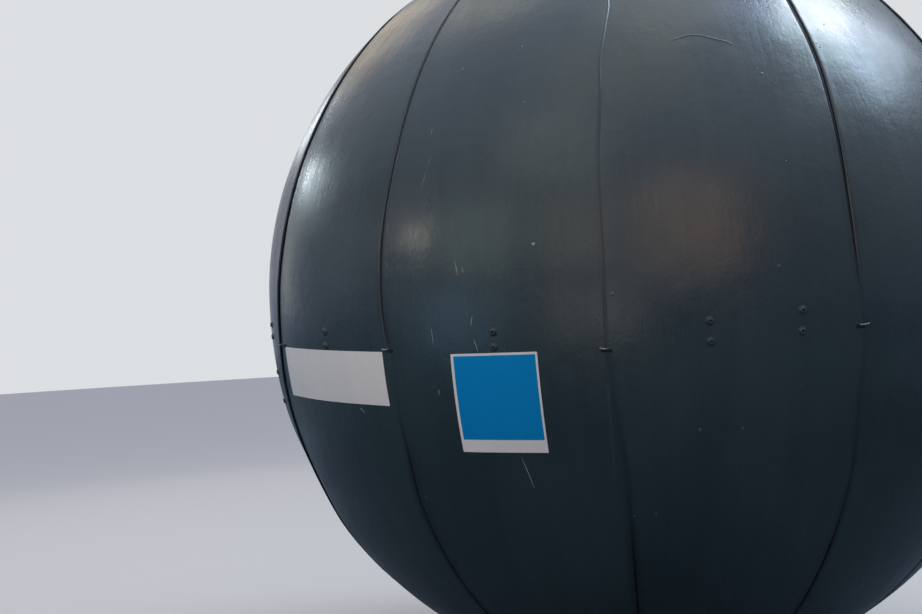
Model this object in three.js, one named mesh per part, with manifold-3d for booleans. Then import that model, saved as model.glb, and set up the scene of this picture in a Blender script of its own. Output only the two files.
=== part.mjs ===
// A spherical crew capsule with a hull of twelve painted meridian panels, ribs behind the seams,
// a cap at each pole, a round hatch at the back and an adapter ring under it.
// Millimetres, +Z up. The origin is on the floor, under the centre of the sphere.
// An azimuth is 0 at -Y and grows towards +X. A latitude is 0 at the equator and grows upwards.

import * as THREE from 'three';
import { mergeVertices } from 'three/addons/utils/BufferGeometryUtils.js';
import Module from 'manifold-3d';

const wasm = await Module();
wasm.setup();

const DEGREE = Math.PI / 180;
const QUARTER_TURN = Math.PI / 2;

// Driving dimensions
const HULL_RADIUS = 700;
const HULL_CENTRE_Z = 740;
const SEAT_GAP = 0.35;
const RUNNING_GAP = 5.5;
const ROUND_SEGMENTS = 48;

// Hull panels
const PANEL_COUNT = 12;
const PANEL_ANGLE = 2 * Math.PI / PANEL_COUNT;
const PANEL_WALL = 10;
const PANEL_END_LATITUDE = 78 * DEGREE;
const PANEL_LATITUDE_STEPS = 22;
const PANEL_AZIMUTH_STEPS = 4;
const SEAM_WIDTH = 3.5;
const LATITUDE_STEP = 2 * PANEL_END_LATITUDE / PANEL_LATITUDE_STEPS;

// Ribs behind the seams, and the staple-shaped clip that each of them sends out through its seam
const RIB_OUTER_RADIUS = HULL_RADIUS - PANEL_WALL - 1.3;
const RIB_INNER_RADIUS = 660;
const RIB_WIDTH = 30;
const CLIP = { width: 18, height: 6, proud: 4.3, stemWidth: 2.4, stemRoot: 685 };
const CLIP_USUAL_Z = -58;
const CLIP_Z_BY_SEAM = { 1: -69, 2: -54, 11: -47 };

// Pole caps, and the hoist fitting on the upper one
const CAP_EDGE_LATITUDE = 78.07 * DEGREE;
const CAP_STEPS = 4;
const HOIST_BOSS = { radius: 78, top: HULL_RADIUS + 22 };
const HOIST_LUG = { offset: 52, width: 56, thickness: 16, eyeHeight: 34, eyeRadius: 14 };

// Floor of the cabin, and the ring that ties the ribs above the hatch
const DECK_TOP_STEP = 4;
const DECK_THICKNESS = 15;
const TIE_RING_STEP = 5;
const TIE_RING = { width: 26, below: 12, above: 12 };

// Adapter ring under the hull
const ADAPTER = {
  skirtInner: 302, skirtOuter: 314, flangeInner: 276, flangeOuter: 344, flangeThickness: 14,
  gussetCount: 12, gussetThickness: 8, gussetReach: 22, gussetHeight: 62,
};

// Hatch at azimuth 180, turned about the Y axis
const HATCH_AZIMUTH = Math.PI;
const FRAME = { outer: 300, bore: 261, lipBore: 240, innerFace: 664, lipFace: 676 };
const HATCH_CUT_RADIUS = FRAME.outer + SEAT_GAP;
const DOOR = { radius: FRAME.bore - RUNNING_GAP, innerFace: 682, steps: 4 };
const PORTHOLE = { radius: 74, bezelRadius: 100, bezelTop: 704.6, paneRadius: 66, paneThickness: 9 };
const HINGE = {
  x: -276, y: 660, pinRadius: 5, boreRadius: 5.4, knuckleRadius: 10, knuckleLength: 80,
  endGap: 5, bracketLength: 26, bracketHalfAngle: 0.7 * DEGREE,
  strapHeight: 64, strapThickness: 8, strapEnd: 13 * DEGREE, padEnd: 20.6 * DEGREE,
};
const HANDLE = {
  x: 205, bossRadius: 22, bossHeight: 20, leverLength: 118, leverWidth: 20, leverThickness: 9,
};

const paint = (color, roughness = 0.45, metalness = 0.1) => (
  () => new THREE.MeshStandardMaterial({ color, roughness, metalness })
);

const FINISH = {
  hullPaint: paint(0x3e474c),
  framePaint: paint(0x343b40),
  ribPrimer: paint(0x2b3034, 0.7, 0.1),
  plate: paint(0x8d9294, 0.5, 0.7),
  steel: paint(0xa7abad, 0.35, 0.9),
  glass: paint(0x9fb4bd, 0.08, 0.0),
};

const lerp = THREE.MathUtils.lerp;

/** Point on a sphere about the hull's centre. */
function spherePoint(radius, azimuth, latitude) {
  const ringRadius = radius * Math.cos(latitude);
  return [ringRadius * Math.sin(azimuth), -ringRadius * Math.cos(azimuth), radius * Math.sin(latitude)];
}

/** Distance from the axis of a point on a sphere, at a height above its centre. */
const sphereReach = (radius, height) => Math.sqrt(radius * radius - height * height);

/** The same on a sphere made of flat bands, with an edge at each latitude step. */
function bandedReach(radius, height) {
  const lower = Math.floor(Math.asin(height / radius) / LATITUDE_STEP + 1e-6);
  const [lowLatitude, highLatitude] = [lower * LATITUDE_STEP, (lower + 1) * LATITUDE_STEP];
  const lowHeight = radius * Math.sin(lowLatitude);
  const share = (height - lowHeight) / (radius * Math.sin(highLatitude) - lowHeight);
  return radius * lerp(Math.cos(lowLatitude), Math.cos(highLatitude), share);
}

/** Merge shared vertices, drop empty triangles and turn the faces outwards. */
function weld(geometry) {
  geometry.deleteAttribute('normal');
  geometry.deleteAttribute('uv');
  const merged = mergeVertices(geometry, 1e-4);
  const position = merged.getAttribute('position');
  const corner = [new THREE.Vector3(), new THREE.Vector3(), new THREE.Vector3()];
  const triangles = [];
  let volume = 0;
  for (let i = 0; i < merged.index.count; i += 3) {
    const triangle = [0, 1, 2].map((k) => merged.index.getX(i + k));
    if (new Set(triangle).size < 3) continue;
    triangle.forEach((vertex, k) => corner[k].fromBufferAttribute(position, vertex));
    volume += corner[0].dot(corner[1].cross(corner[2]));
    triangles.push(triangle);
  }
  if (volume < 0) triangles.forEach((triangle) => triangle.reverse());
  merged.setIndex(triangles.flat());
  return merged;
}

function toSolid(geometry) {
  const welded = weld(geometry);
  return new wasm.Manifold(new wasm.Mesh({
    numProp: 3,
    vertProperties: new Float32Array(welded.getAttribute('position').array),
    triVerts: new Uint32Array(welded.index.array),
  }));
}

function fromSolid(solid) {
  const { vertProperties, triVerts } = solid.getMesh();
  const geometry = new THREE.BufferGeometry();
  geometry.setAttribute('position', new THREE.BufferAttribute(new Float32Array(vertProperties), 3));
  geometry.setIndex(new THREE.BufferAttribute(new Uint32Array(triVerts), 1));
  return geometry;
}

const join = (...geometries) => (
  fromSolid(geometries.map(toSolid).reduce((whole, piece) => whole.add(piece)))
);

const cut = (geometry, ...tools) => (
  fromSolid(tools.map(toSolid).reduce((whole, tool) => whole.subtract(tool), toSolid(geometry)))
);

/** Closed ring or disc turned about Y, from a profile of [radius, y] points. */
function turnedAboutY(profile) {
  const points = [...profile, profile[0]].map(([radius, y]) => new THREE.Vector2(radius, y));
  return weld(new THREE.LatheGeometry(points, ROUND_SEGMENTS));
}

/** The same turned about Z, from [radius, z] points. */
const turnedAboutZ = (profile) => turnedAboutY(profile).rotateX(QUARTER_TURN);

/** Plate of a given thickness, from an outline of [reach, z] points, standing in the -Y half plane. */
function meridianPlate(outline, thickness) {
  const shape = new THREE.Shape(outline.map(([reach, z]) => new THREE.Vector2(reach, z)));
  const plate = new THREE.ExtrudeGeometry(shape, { depth: thickness, bevelEnabled: false });
  return plate.translate(0, 0, -thickness / 2).rotateX(QUARTER_TURN).rotateZ(-QUARTER_TURN);
}

/** Points [reach, height] along a circle about the hull's centre. */
function arcPoints(radius, startAngle, endAngle, steps) {
  return Array.from({ length: steps + 1 }, (_, i) => {
    const angle = lerp(startAngle, endAngle, i / steps);
    return [radius * Math.cos(angle), radius * Math.sin(angle)];
  });
}

function named(name, geometry, finish) {
  const mesh = new THREE.Mesh(geometry, finish());
  mesh.name = name;
  return mesh;
}

const twoDigits = (number) => String(number).padStart(2, '0');

/** Hatch-sized cylinder that runs through the wall at the back. */
function hatchCutter() {
  const depth = 140;
  return new THREE.CylinderGeometry(HATCH_CUT_RADIUS, HATCH_CUT_RADIUS, depth, ROUND_SEGMENTS)
    .translate(0, sphereReach(HULL_RADIUS, HATCH_CUT_RADIUS), 0);
}

/** One panel, with its middle at azimuth 0 and its long edges parallel to the seams. */
function panelShell() {
  const positions = [];
  const indices = [];
  const vertexAt = (side, i, j) => (
    (side * (PANEL_LATITUDE_STEPS + 1) + i) * (PANEL_AZIMUTH_STEPS + 1) + j
  );
  for (const radius of [HULL_RADIUS, HULL_RADIUS - PANEL_WALL]) {
    for (let i = 0; i <= PANEL_LATITUDE_STEPS; i += 1) {
      const latitude = -PANEL_END_LATITUDE + i * LATITUDE_STEP;
      const halfSeam = Math.asin(SEAM_WIDTH / 2 / (radius * Math.cos(latitude)));
      const halfAngle = PANEL_ANGLE / 2 - halfSeam;
      for (let j = 0; j <= PANEL_AZIMUTH_STEPS; j += 1) {
        const azimuth = lerp(-halfAngle, halfAngle, j / PANEL_AZIMUTH_STEPS);
        positions.push(...spherePoint(radius, azimuth, latitude));
      }
    }
  }
  const quad = (a, b, c, d) => indices.push(a, b, c, a, c, d);
  for (let i = 0; i < PANEL_LATITUDE_STEPS; i += 1) {
    for (let j = 0; j < PANEL_AZIMUTH_STEPS; j += 1) {
      quad(vertexAt(0, i, j), vertexAt(0, i, j + 1), vertexAt(0, i + 1, j + 1), vertexAt(0, i + 1, j));
      quad(vertexAt(1, i, j), vertexAt(1, i + 1, j), vertexAt(1, i + 1, j + 1), vertexAt(1, i, j + 1));
    }
    for (const [j, near, far] of [[0, 1, 0], [PANEL_AZIMUTH_STEPS, 0, 1]]) {
      quad(vertexAt(near, i, j), vertexAt(far, i, j), vertexAt(far, i + 1, j), vertexAt(near, i + 1, j));
    }
  }
  for (let j = 0; j < PANEL_AZIMUTH_STEPS; j += 1) {
    for (const [i, near, far] of [[0, 0, 1], [PANEL_LATITUDE_STEPS, 1, 0]]) {
      quad(vertexAt(near, i, j), vertexAt(far, i, j), vertexAt(far, i, j + 1), vertexAt(near, i, j + 1));
    }
  }
  const geometry = new THREE.BufferGeometry();
  geometry.setAttribute('position', new THREE.Float32BufferAttribute(positions, 3));
  geometry.setIndex(indices);
  return geometry;
}

function hullPanels() {
  return Array.from({ length: PANEL_COUNT }, (_, index) => {
    const azimuth = (index + 0.5) * PANEL_ANGLE;
    const meetsHatch = Math.abs(azimuth - HATCH_AZIMUTH) < PANEL_ANGLE;
    const shell = weld(panelShell());
    const geometry = meetsHatch ? cut(shell, hatchCutter().rotateZ(-azimuth)) : shell;
    const panel = named(`gore_panel_${twoDigits(index + 1)}`, geometry, FINISH.hullPaint);
    panel.rotation.z = azimuth;
    return panel;
  });
}

/** Rib in the -Y half plane, between two latitude steps counted from the equator. */
function ribArc(lowStep, highStep) {
  const [low, high] = [lowStep * LATITUDE_STEP, highStep * LATITUDE_STEP];
  const steps = highStep - lowStep;
  return meridianPlate([
    ...arcPoints(RIB_OUTER_RADIUS, low, high, steps),
    ...arcPoints(RIB_INNER_RADIUS, high, low, steps),
  ], RIB_WIDTH);
}

/** Staple-shaped clip over the seam at azimuth 0: a stem from the rib and a flat head. */
function seamClip(z) {
  const headRoot = HULL_RADIUS + SEAT_GAP;
  const headTop = HULL_RADIUS + CLIP.proud;
  const stemLength = headRoot + 1 - CLIP.stemRoot;
  const latitude = Math.asin(z / HULL_RADIUS);
  const stem = new THREE.BoxGeometry(CLIP.stemWidth, stemLength, CLIP.height)
    .translate(0, -(CLIP.stemRoot + stemLength / 2), 0);
  const head = new THREE.BoxGeometry(CLIP.width, headTop - headRoot, CLIP.height)
    .translate(0, -(headRoot + headTop) / 2, 0);
  return [stem, head].map((piece) => piece.rotateX(-latitude));
}

function seamRibs() {
  const halfSteps = PANEL_LATITUDE_STEPS / 2;
  const hatchHalfSteps = 3;
  return Array.from({ length: PANEL_COUNT }, (_, index) => {
    const azimuth = index * PANEL_ANGLE;
    const name = `seam_rib_${twoDigits(index + 1)}`;
    if (azimuth !== HATCH_AZIMUTH) {
      const clip = seamClip(CLIP_Z_BY_SEAM[index + 1] ?? CLIP_USUAL_Z);
      const rib = named(name, join(ribArc(-halfSteps, halfSteps), ...clip), FINISH.ribPrimer);
      rib.rotation.z = azimuth;
      return [rib];
    }
    const spans = [['upper', hatchHalfSteps, halfSteps], ['lower', -halfSteps, -hatchHalfSteps]];
    return spans.map(([end, lowStep, highStep]) => {
      const arc = cut(ribArc(lowStep, highStep), hatchCutter().rotateZ(-azimuth));
      const rib = named(`${name}_${end}`, arc, FINISH.ribPrimer);
      rib.rotation.z = azimuth;
      return rib;
    });
  }).flat();
}

/** Domed cap that closes the panels' ends at the upper pole. */
function poleCap() {
  const pole = Math.PI / 2;
  return turnedAboutZ([
    ...arcPoints(HULL_RADIUS, CAP_EDGE_LATITUDE, pole, CAP_STEPS),
    ...arcPoints(HULL_RADIUS - PANEL_WALL, pole, CAP_EDGE_LATITUDE, CAP_STEPS),
  ].map(([reach, z]) => [Math.max(reach, 0), z]));
}

function hoistFitting() {
  const seatRadius = HULL_RADIUS + SEAT_GAP;
  const seat = [0, 0.5, 1].map((share) => {
    const reach = share * HOIST_BOSS.radius;
    return [reach, sphereReach(seatRadius, reach)];
  });
  const boss = turnedAboutZ([...seat, [HOIST_BOSS.radius, HOIST_BOSS.top], [0, HOIST_BOSS.top]]);
  const lugs = [-1, 1].map((side, index) => {
    const { offset, width, thickness, eyeHeight, eyeRadius } = HOIST_LUG;
    const outline = new THREE.Shape();
    outline.moveTo(-width / 2, 0);
    outline.lineTo(width / 2, 0);
    outline.lineTo(width / 2, eyeHeight);
    outline.absarc(0, eyeHeight, width / 2, 0, Math.PI, false);
    outline.closePath();
    outline.holes.push(new THREE.Path().absarc(0, eyeHeight, eyeRadius, 0, 2 * Math.PI, true));
    const plate = { depth: thickness, bevelEnabled: false, curveSegments: 12 };
    const lug = new THREE.ExtrudeGeometry(outline, plate)
      .translate(0, 0, -thickness / 2)
      .rotateX(QUARTER_TURN)
      .rotateZ(QUARTER_TURN)
      .translate(side * offset, 0, HOIST_BOSS.top + SEAT_GAP);
    return named(`hoist_lug_${index + 1}`, weld(lug), FINISH.steel);
  });
  return [named('hoist_boss', boss, FINISH.steel), ...lugs];
}

/** Deck that rests against the ribs below the hatch, and the ring that ties them above it. */
function cabinStructure() {
  const reachAt = (z) => bandedReach(RIB_INNER_RADIUS, z) - SEAT_GAP;
  const deckTop = -RIB_INNER_RADIUS * Math.sin(DECK_TOP_STEP * LATITUDE_STEP);
  const deckBottom = deckTop - DECK_THICKNESS;
  const deck = turnedAboutZ([
    [0, deckBottom], [reachAt(deckBottom), deckBottom], [reachAt(deckTop), deckTop], [0, deckTop],
  ]);
  const ringMiddle = RIB_INNER_RADIUS * Math.sin(TIE_RING_STEP * LATITUDE_STEP);
  const [ringBottom, ringTop] = [ringMiddle - TIE_RING.below, ringMiddle + TIE_RING.above];
  const ringBore = reachAt(ringTop) - TIE_RING.width;
  const ring = turnedAboutZ([
    [ringBore, ringBottom], [reachAt(ringBottom), ringBottom], [reachAt(ringMiddle), ringMiddle],
    [reachAt(ringTop), ringTop], [ringBore, ringTop],
  ]);
  return [named('cabin_deck', deck, FINISH.plate), named('rib_tie_ring', ring, FINISH.ribPrimer)];
}

/** Skirt that carries the hull, with gussets, and the flat flange that it stands on. */
function adapterRing() {
  const skirtFoot = ADAPTER.flangeThickness + SEAT_GAP;
  const skirtTop = (reach) => HULL_CENTRE_Z - sphereReach(HULL_RADIUS + SEAT_GAP, reach);
  const { skirtInner, skirtOuter, flangeInner, flangeOuter, flangeThickness } = ADAPTER;
  const skirt = turnedAboutZ([
    [skirtInner, skirtFoot], [skirtOuter, skirtFoot],
    [skirtOuter, skirtTop(skirtOuter)], [skirtInner, skirtTop(skirtInner)],
  ]);
  const gussetRoot = skirtOuter - 4;
  const gussets = Array.from({ length: ADAPTER.gussetCount }, (_, index) => meridianPlate([
    [gussetRoot, skirtFoot], [skirtOuter + ADAPTER.gussetReach, skirtFoot],
    [skirtOuter + ADAPTER.gussetReach, skirtFoot + ADAPTER.gussetThickness],
    [skirtOuter + 2, skirtFoot + ADAPTER.gussetHeight], [gussetRoot, skirtFoot + ADAPTER.gussetHeight],
  ], ADAPTER.gussetThickness).rotateZ((index + 0.5) * PANEL_ANGLE));
  const flange = turnedAboutZ([
    [flangeInner, 0], [flangeOuter, 0], [flangeOuter, flangeThickness], [flangeInner, flangeThickness],
  ]);
  return [
    named('adapter_skirt', join(skirt, ...gussets), FINISH.framePaint),
    named('adapter_flange', flange, FINISH.steel),
  ];
}

/** Point [radius, y] at a radius about the hatch's axis and a distance from the hull's centre. */
const hatchPoint = (radius, distance) => [radius, sphereReach(distance, radius)];

function hatchFrame() {
  const { outer, bore, lipBore, innerFace, lipFace } = FRAME;
  return turnedAboutY([
    hatchPoint(bore, lipFace), hatchPoint(bore, HULL_RADIUS), hatchPoint(outer, HULL_RADIUS),
    hatchPoint(outer, innerFace), hatchPoint(lipBore, innerFace), hatchPoint(lipBore, lipFace),
  ]);
}

function hatchDoor() {
  const radii = Array.from({ length: DOOR.steps + 1 }, (_, i) => (
    lerp(PORTHOLE.radius, DOOR.radius, i / DOOR.steps)
  ));
  return turnedAboutY([
    ...radii.map((radius) => hatchPoint(radius, HULL_RADIUS)),
    ...radii.reverse().map((radius) => hatchPoint(radius, DOOR.innerFace)),
  ]);
}

/** Ring that holds the pane in the door, and the flat pane in it. */
function porthole() {
  const { radius, bezelRadius, bezelTop, paneRadius, paneThickness } = PORTHOLE;
  const tubeRadius = radius - SEAT_GAP;
  const overDoor = HULL_RADIUS + SEAT_GAP;
  const paneBack = sphereReach(DOOR.innerFace, radius) + 3;
  const bezel = turnedAboutY([
    hatchPoint(tubeRadius, DOOR.innerFace), hatchPoint(tubeRadius, overDoor),
    hatchPoint(bezelRadius, overDoor), hatchPoint(bezelRadius, bezelTop),
    hatchPoint(paneRadius, bezelTop), hatchPoint(paneRadius, DOOR.innerFace),
  ]);
  const pane = turnedAboutY([
    [0, paneBack], [paneRadius - SEAT_GAP, paneBack],
    [paneRadius - SEAT_GAP, paneBack + paneThickness], [0, paneBack + paneThickness],
  ]);
  return [named('porthole_bezel', bezel, FINISH.steel), named('porthole_pane', pane, FINISH.glass)];
}

/** Upright cylinder on the hinge's axis. */
function onHingeAxis(radius, height, z = 0) {
  return new THREE.CylinderGeometry(radius, radius, height, 16)
    .rotateX(QUARTER_TURN)
    .translate(HINGE.x, HINGE.y, z);
}

/** Upright block that follows the hull's curve between two angles from +Y, on the hinge's side. */
function curvedBlock(innerRadius, outerRadius, nearAngle, farAngle, height, z = 0) {
  const onArc = (radius) => (
    (angle) => new THREE.Vector2(-radius * Math.sin(angle), radius * Math.cos(angle))
  );
  const angles = [0, 0.5, 1].map((share) => lerp(nearAngle, farAngle, share));
  const outline = [...angles.map(onArc(innerRadius)), ...angles.reverse().map(onArc(outerRadius))];
  return new THREE.ExtrudeGeometry(new THREE.Shape(outline), { depth: height, bevelEnabled: false })
    .translate(0, 0, z - height / 2);
}

function hinge() {
  const axisAngle = Math.atan2(-HINGE.x, HINGE.y);
  const axisRadius = Math.hypot(HINGE.x, HINGE.y);
  const onHull = HULL_RADIUS + SEAT_GAP;
  const overFrame = HULL_RADIUS + RUNNING_GAP;
  const bracketZ = (HINGE.knuckleLength + HINGE.bracketLength) / 2 + HINGE.endGap;
  const bracketRoot = sphereReach(onHull, bracketZ - HINGE.bracketLength / 2);
  const [bracketNear, bracketFar] = [-1, 1].map((side) => axisAngle + side * HINGE.bracketHalfAngle);
  const brackets = [-1, 1].flatMap((side) => [
    curvedBlock(bracketRoot, axisRadius, bracketNear, bracketFar, HINGE.bracketLength, side * bracketZ),
    onHingeAxis(HINGE.knuckleRadius, HINGE.bracketLength, side * bracketZ),
  ]);
  const pin = onHingeAxis(HINGE.pinRadius, 2 * bracketZ + HINGE.bracketLength + 8);
  const strap = join(
    curvedBlock(onHull, onHull + HINGE.strapThickness, HINGE.strapEnd, HINGE.padEnd, HINGE.strapHeight),
    curvedBlock(overFrame, overFrame + HINGE.strapThickness, HINGE.strapEnd, axisAngle, HINGE.strapHeight),
    onHingeAxis(HINGE.knuckleRadius, HINGE.knuckleLength),
  );
  const bore = onHingeAxis(HINGE.boreRadius, 2 * HINGE.knuckleLength);
  return [
    named('hatch_hinge_pin', join(pin, ...brackets), FINISH.steel),
    named('hatch_hinge_strap', cut(strap, bore), FINISH.steel),
  ];
}

function hatchHandle() {
  const { bossRadius, bossHeight, leverLength, leverWidth, leverThickness } = HANDLE;
  const angle = Math.asin(HANDLE.x / HULL_RADIUS);
  const bossRoot = HULL_RADIUS + SEAT_GAP;
  const leverTop = bossRoot + bossHeight;
  const boss = new THREE.CylinderGeometry(bossRadius, bossRadius, bossHeight, 24)
    .translate(0, bossRoot + bossHeight / 2, 0);
  const lever = new THREE.BoxGeometry(leverWidth, leverThickness, leverLength)
    .translate(0, leverTop - leverThickness / 2 + 1, -leverLength / 2);
  return named('hatch_handle', join(boss, lever).rotateZ(-angle), FINISH.steel);
}

/** Everything that is placed about the centre of the hull. */
function hull() {
  const group = new THREE.Group();
  group.position.z = HULL_CENTRE_Z;
  group.add(
    ...hullPanels(),
    ...seamRibs(),
    named('pole_cap_top', poleCap(), FINISH.hullPaint),
    named('pole_cap_bottom', poleCap().rotateX(Math.PI), FINISH.hullPaint),
    ...hoistFitting(),
    ...cabinStructure(),
    named('hatch_frame', hatchFrame(), FINISH.framePaint),
    named('hatch_door', hatchDoor(), FINISH.hullPaint),
    ...porthole(),
    ...hinge(),
    hatchHandle(),
  );
  return group;
}

const capsule = new THREE.Group();
capsule.add(hull(), ...adapterRing());

export default capsule;
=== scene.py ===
"""Fine surfaces, finishes, studio and camera of a spherical crew capsule.

Metres, +Z up. An azimuth is 0 at -Y and grows towards +X. A latitude is 0 at the equator and grows upwards.
"""

import logging
import math
import random
from collections.abc import Callable, Iterable, Sequence
from dataclasses import dataclass
from enum import Enum
from functools import cached_property, reduce

import bmesh
import bpy
from bmesh.types import BMEdge, BMesh, BMVert
from bpy.types import ID, Material, Mesh, Node, NodeSocket, NodeTree, Object
from mathutils import Matrix, Vector, noise


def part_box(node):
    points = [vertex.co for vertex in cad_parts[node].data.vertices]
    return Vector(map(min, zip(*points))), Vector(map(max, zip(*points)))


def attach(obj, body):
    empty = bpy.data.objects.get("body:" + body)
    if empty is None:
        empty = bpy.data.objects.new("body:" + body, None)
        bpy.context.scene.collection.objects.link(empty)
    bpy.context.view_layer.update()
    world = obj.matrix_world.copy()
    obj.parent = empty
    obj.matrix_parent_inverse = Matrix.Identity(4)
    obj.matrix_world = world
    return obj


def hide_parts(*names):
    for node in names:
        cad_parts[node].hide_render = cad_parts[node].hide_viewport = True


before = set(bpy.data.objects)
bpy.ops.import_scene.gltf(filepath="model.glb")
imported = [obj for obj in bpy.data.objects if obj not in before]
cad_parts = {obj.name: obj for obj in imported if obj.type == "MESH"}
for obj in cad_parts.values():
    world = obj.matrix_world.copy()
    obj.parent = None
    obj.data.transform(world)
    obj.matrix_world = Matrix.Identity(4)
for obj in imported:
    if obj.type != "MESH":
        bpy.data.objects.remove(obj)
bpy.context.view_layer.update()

log = logging.getLogger("capsule")

MM = 0.001
LOOP_SPACING = 7 * MM
SUNK = 0.1 * MM
SMOOTH_BELOW = math.radians(35)
SMOOTH_SMALL_BELOW = math.radians(50)
HEAD_ROUNDING = 0.8 * MM
SKIN_UV = "skin"
SEAM_ATTRIBUTE = "seam_distance"
PAINTED_ATTRIBUTE = "painted"
ORIGIN = Vector()
UP = Vector((0.0, 0.0, 1.0))
BACK = Vector((0.0, 1.0, 0.0))

Table = tuple[tuple[float, float], ...]
Profile = Sequence[tuple[float, float]]
Colour = tuple[float, float, float]


class Slot(Enum):
    """Material slots of the record."""

    HULL_PAINT = "hull_paint"
    FRAME_PAINT = "frame_paint"
    RIB_PRIMER = "rib_primer"
    DECK_PLATE = "deck_plate"
    STEEL = "steel"
    PANE_GLASS = "pane_glass"
    SEAM_SEALANT = "seam_sealant"
    STICKER_WHITE = "sticker_white"
    STICKER_BLUE = "sticker_blue"


class Body(Enum):
    """Bodies that the pieces ride on."""

    HULL = "hull"
    HATCH = "hatch"


class Mapping(Enum):
    """What a finish's pattern follows: the skin's own metres, or the object's axes."""

    SKIN = "skin"
    OBJECT = "object"


def lerp(start: float, end: float, share: float) -> float:
    """Return the value at a share of the way from start to end."""
    return start + (end - start) * share


def spread(start: float, end: float, count: int) -> list[float]:
    """Return count values spaced evenly from start to end."""
    return [lerp(start, end, index / (count - 1)) for index in range(count)]


def smooth_step(low: float, high: float, value: float) -> float:
    """Return 0 below low, 1 above high and a smooth rise between them."""
    share = min(max((value - low) / (high - low), 0.0), 1.0)
    return share * share * (3.0 - 2.0 * share)


def table_value(table: Table, at: float) -> float:
    """Read a table along a smooth curve through its points.

    Args:
        table: Pairs of position and value, with rising positions.
        at: Position to read at.

    Returns:
        The value there, held constant past the table's ends.
    """
    if at <= table[0][0]:
        return table[0][1]
    if at >= table[-1][0]:
        return table[-1][1]
    index = next(i for i in range(1, len(table)) if at <= table[i][0])

    def slope(i: int) -> float:
        low, high = table[max(i - 1, 0)], table[min(i + 1, len(table) - 1)]
        return (high[1] - low[1]) / (high[0] - low[0])

    (start, before), (end, after) = table[index - 1], table[index]
    width = end - start
    t = (at - start) / width
    rise, fall = slope(index - 1) * width, slope(index) * width
    return (
        (2 * t**3 - 3 * t**2 + 1) * before
        + (t**3 - 2 * t**2 + t) * rise
        + (3 * t**2 - 2 * t**3) * after
        + (t**3 - t**2) * fall
    )


def turn_from(start: float, azimuth: float) -> float:
    """Return the turn from one azimuth to another, within half a circle either way."""
    return (azimuth - start + math.pi) % (2 * math.pi) - math.pi


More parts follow.
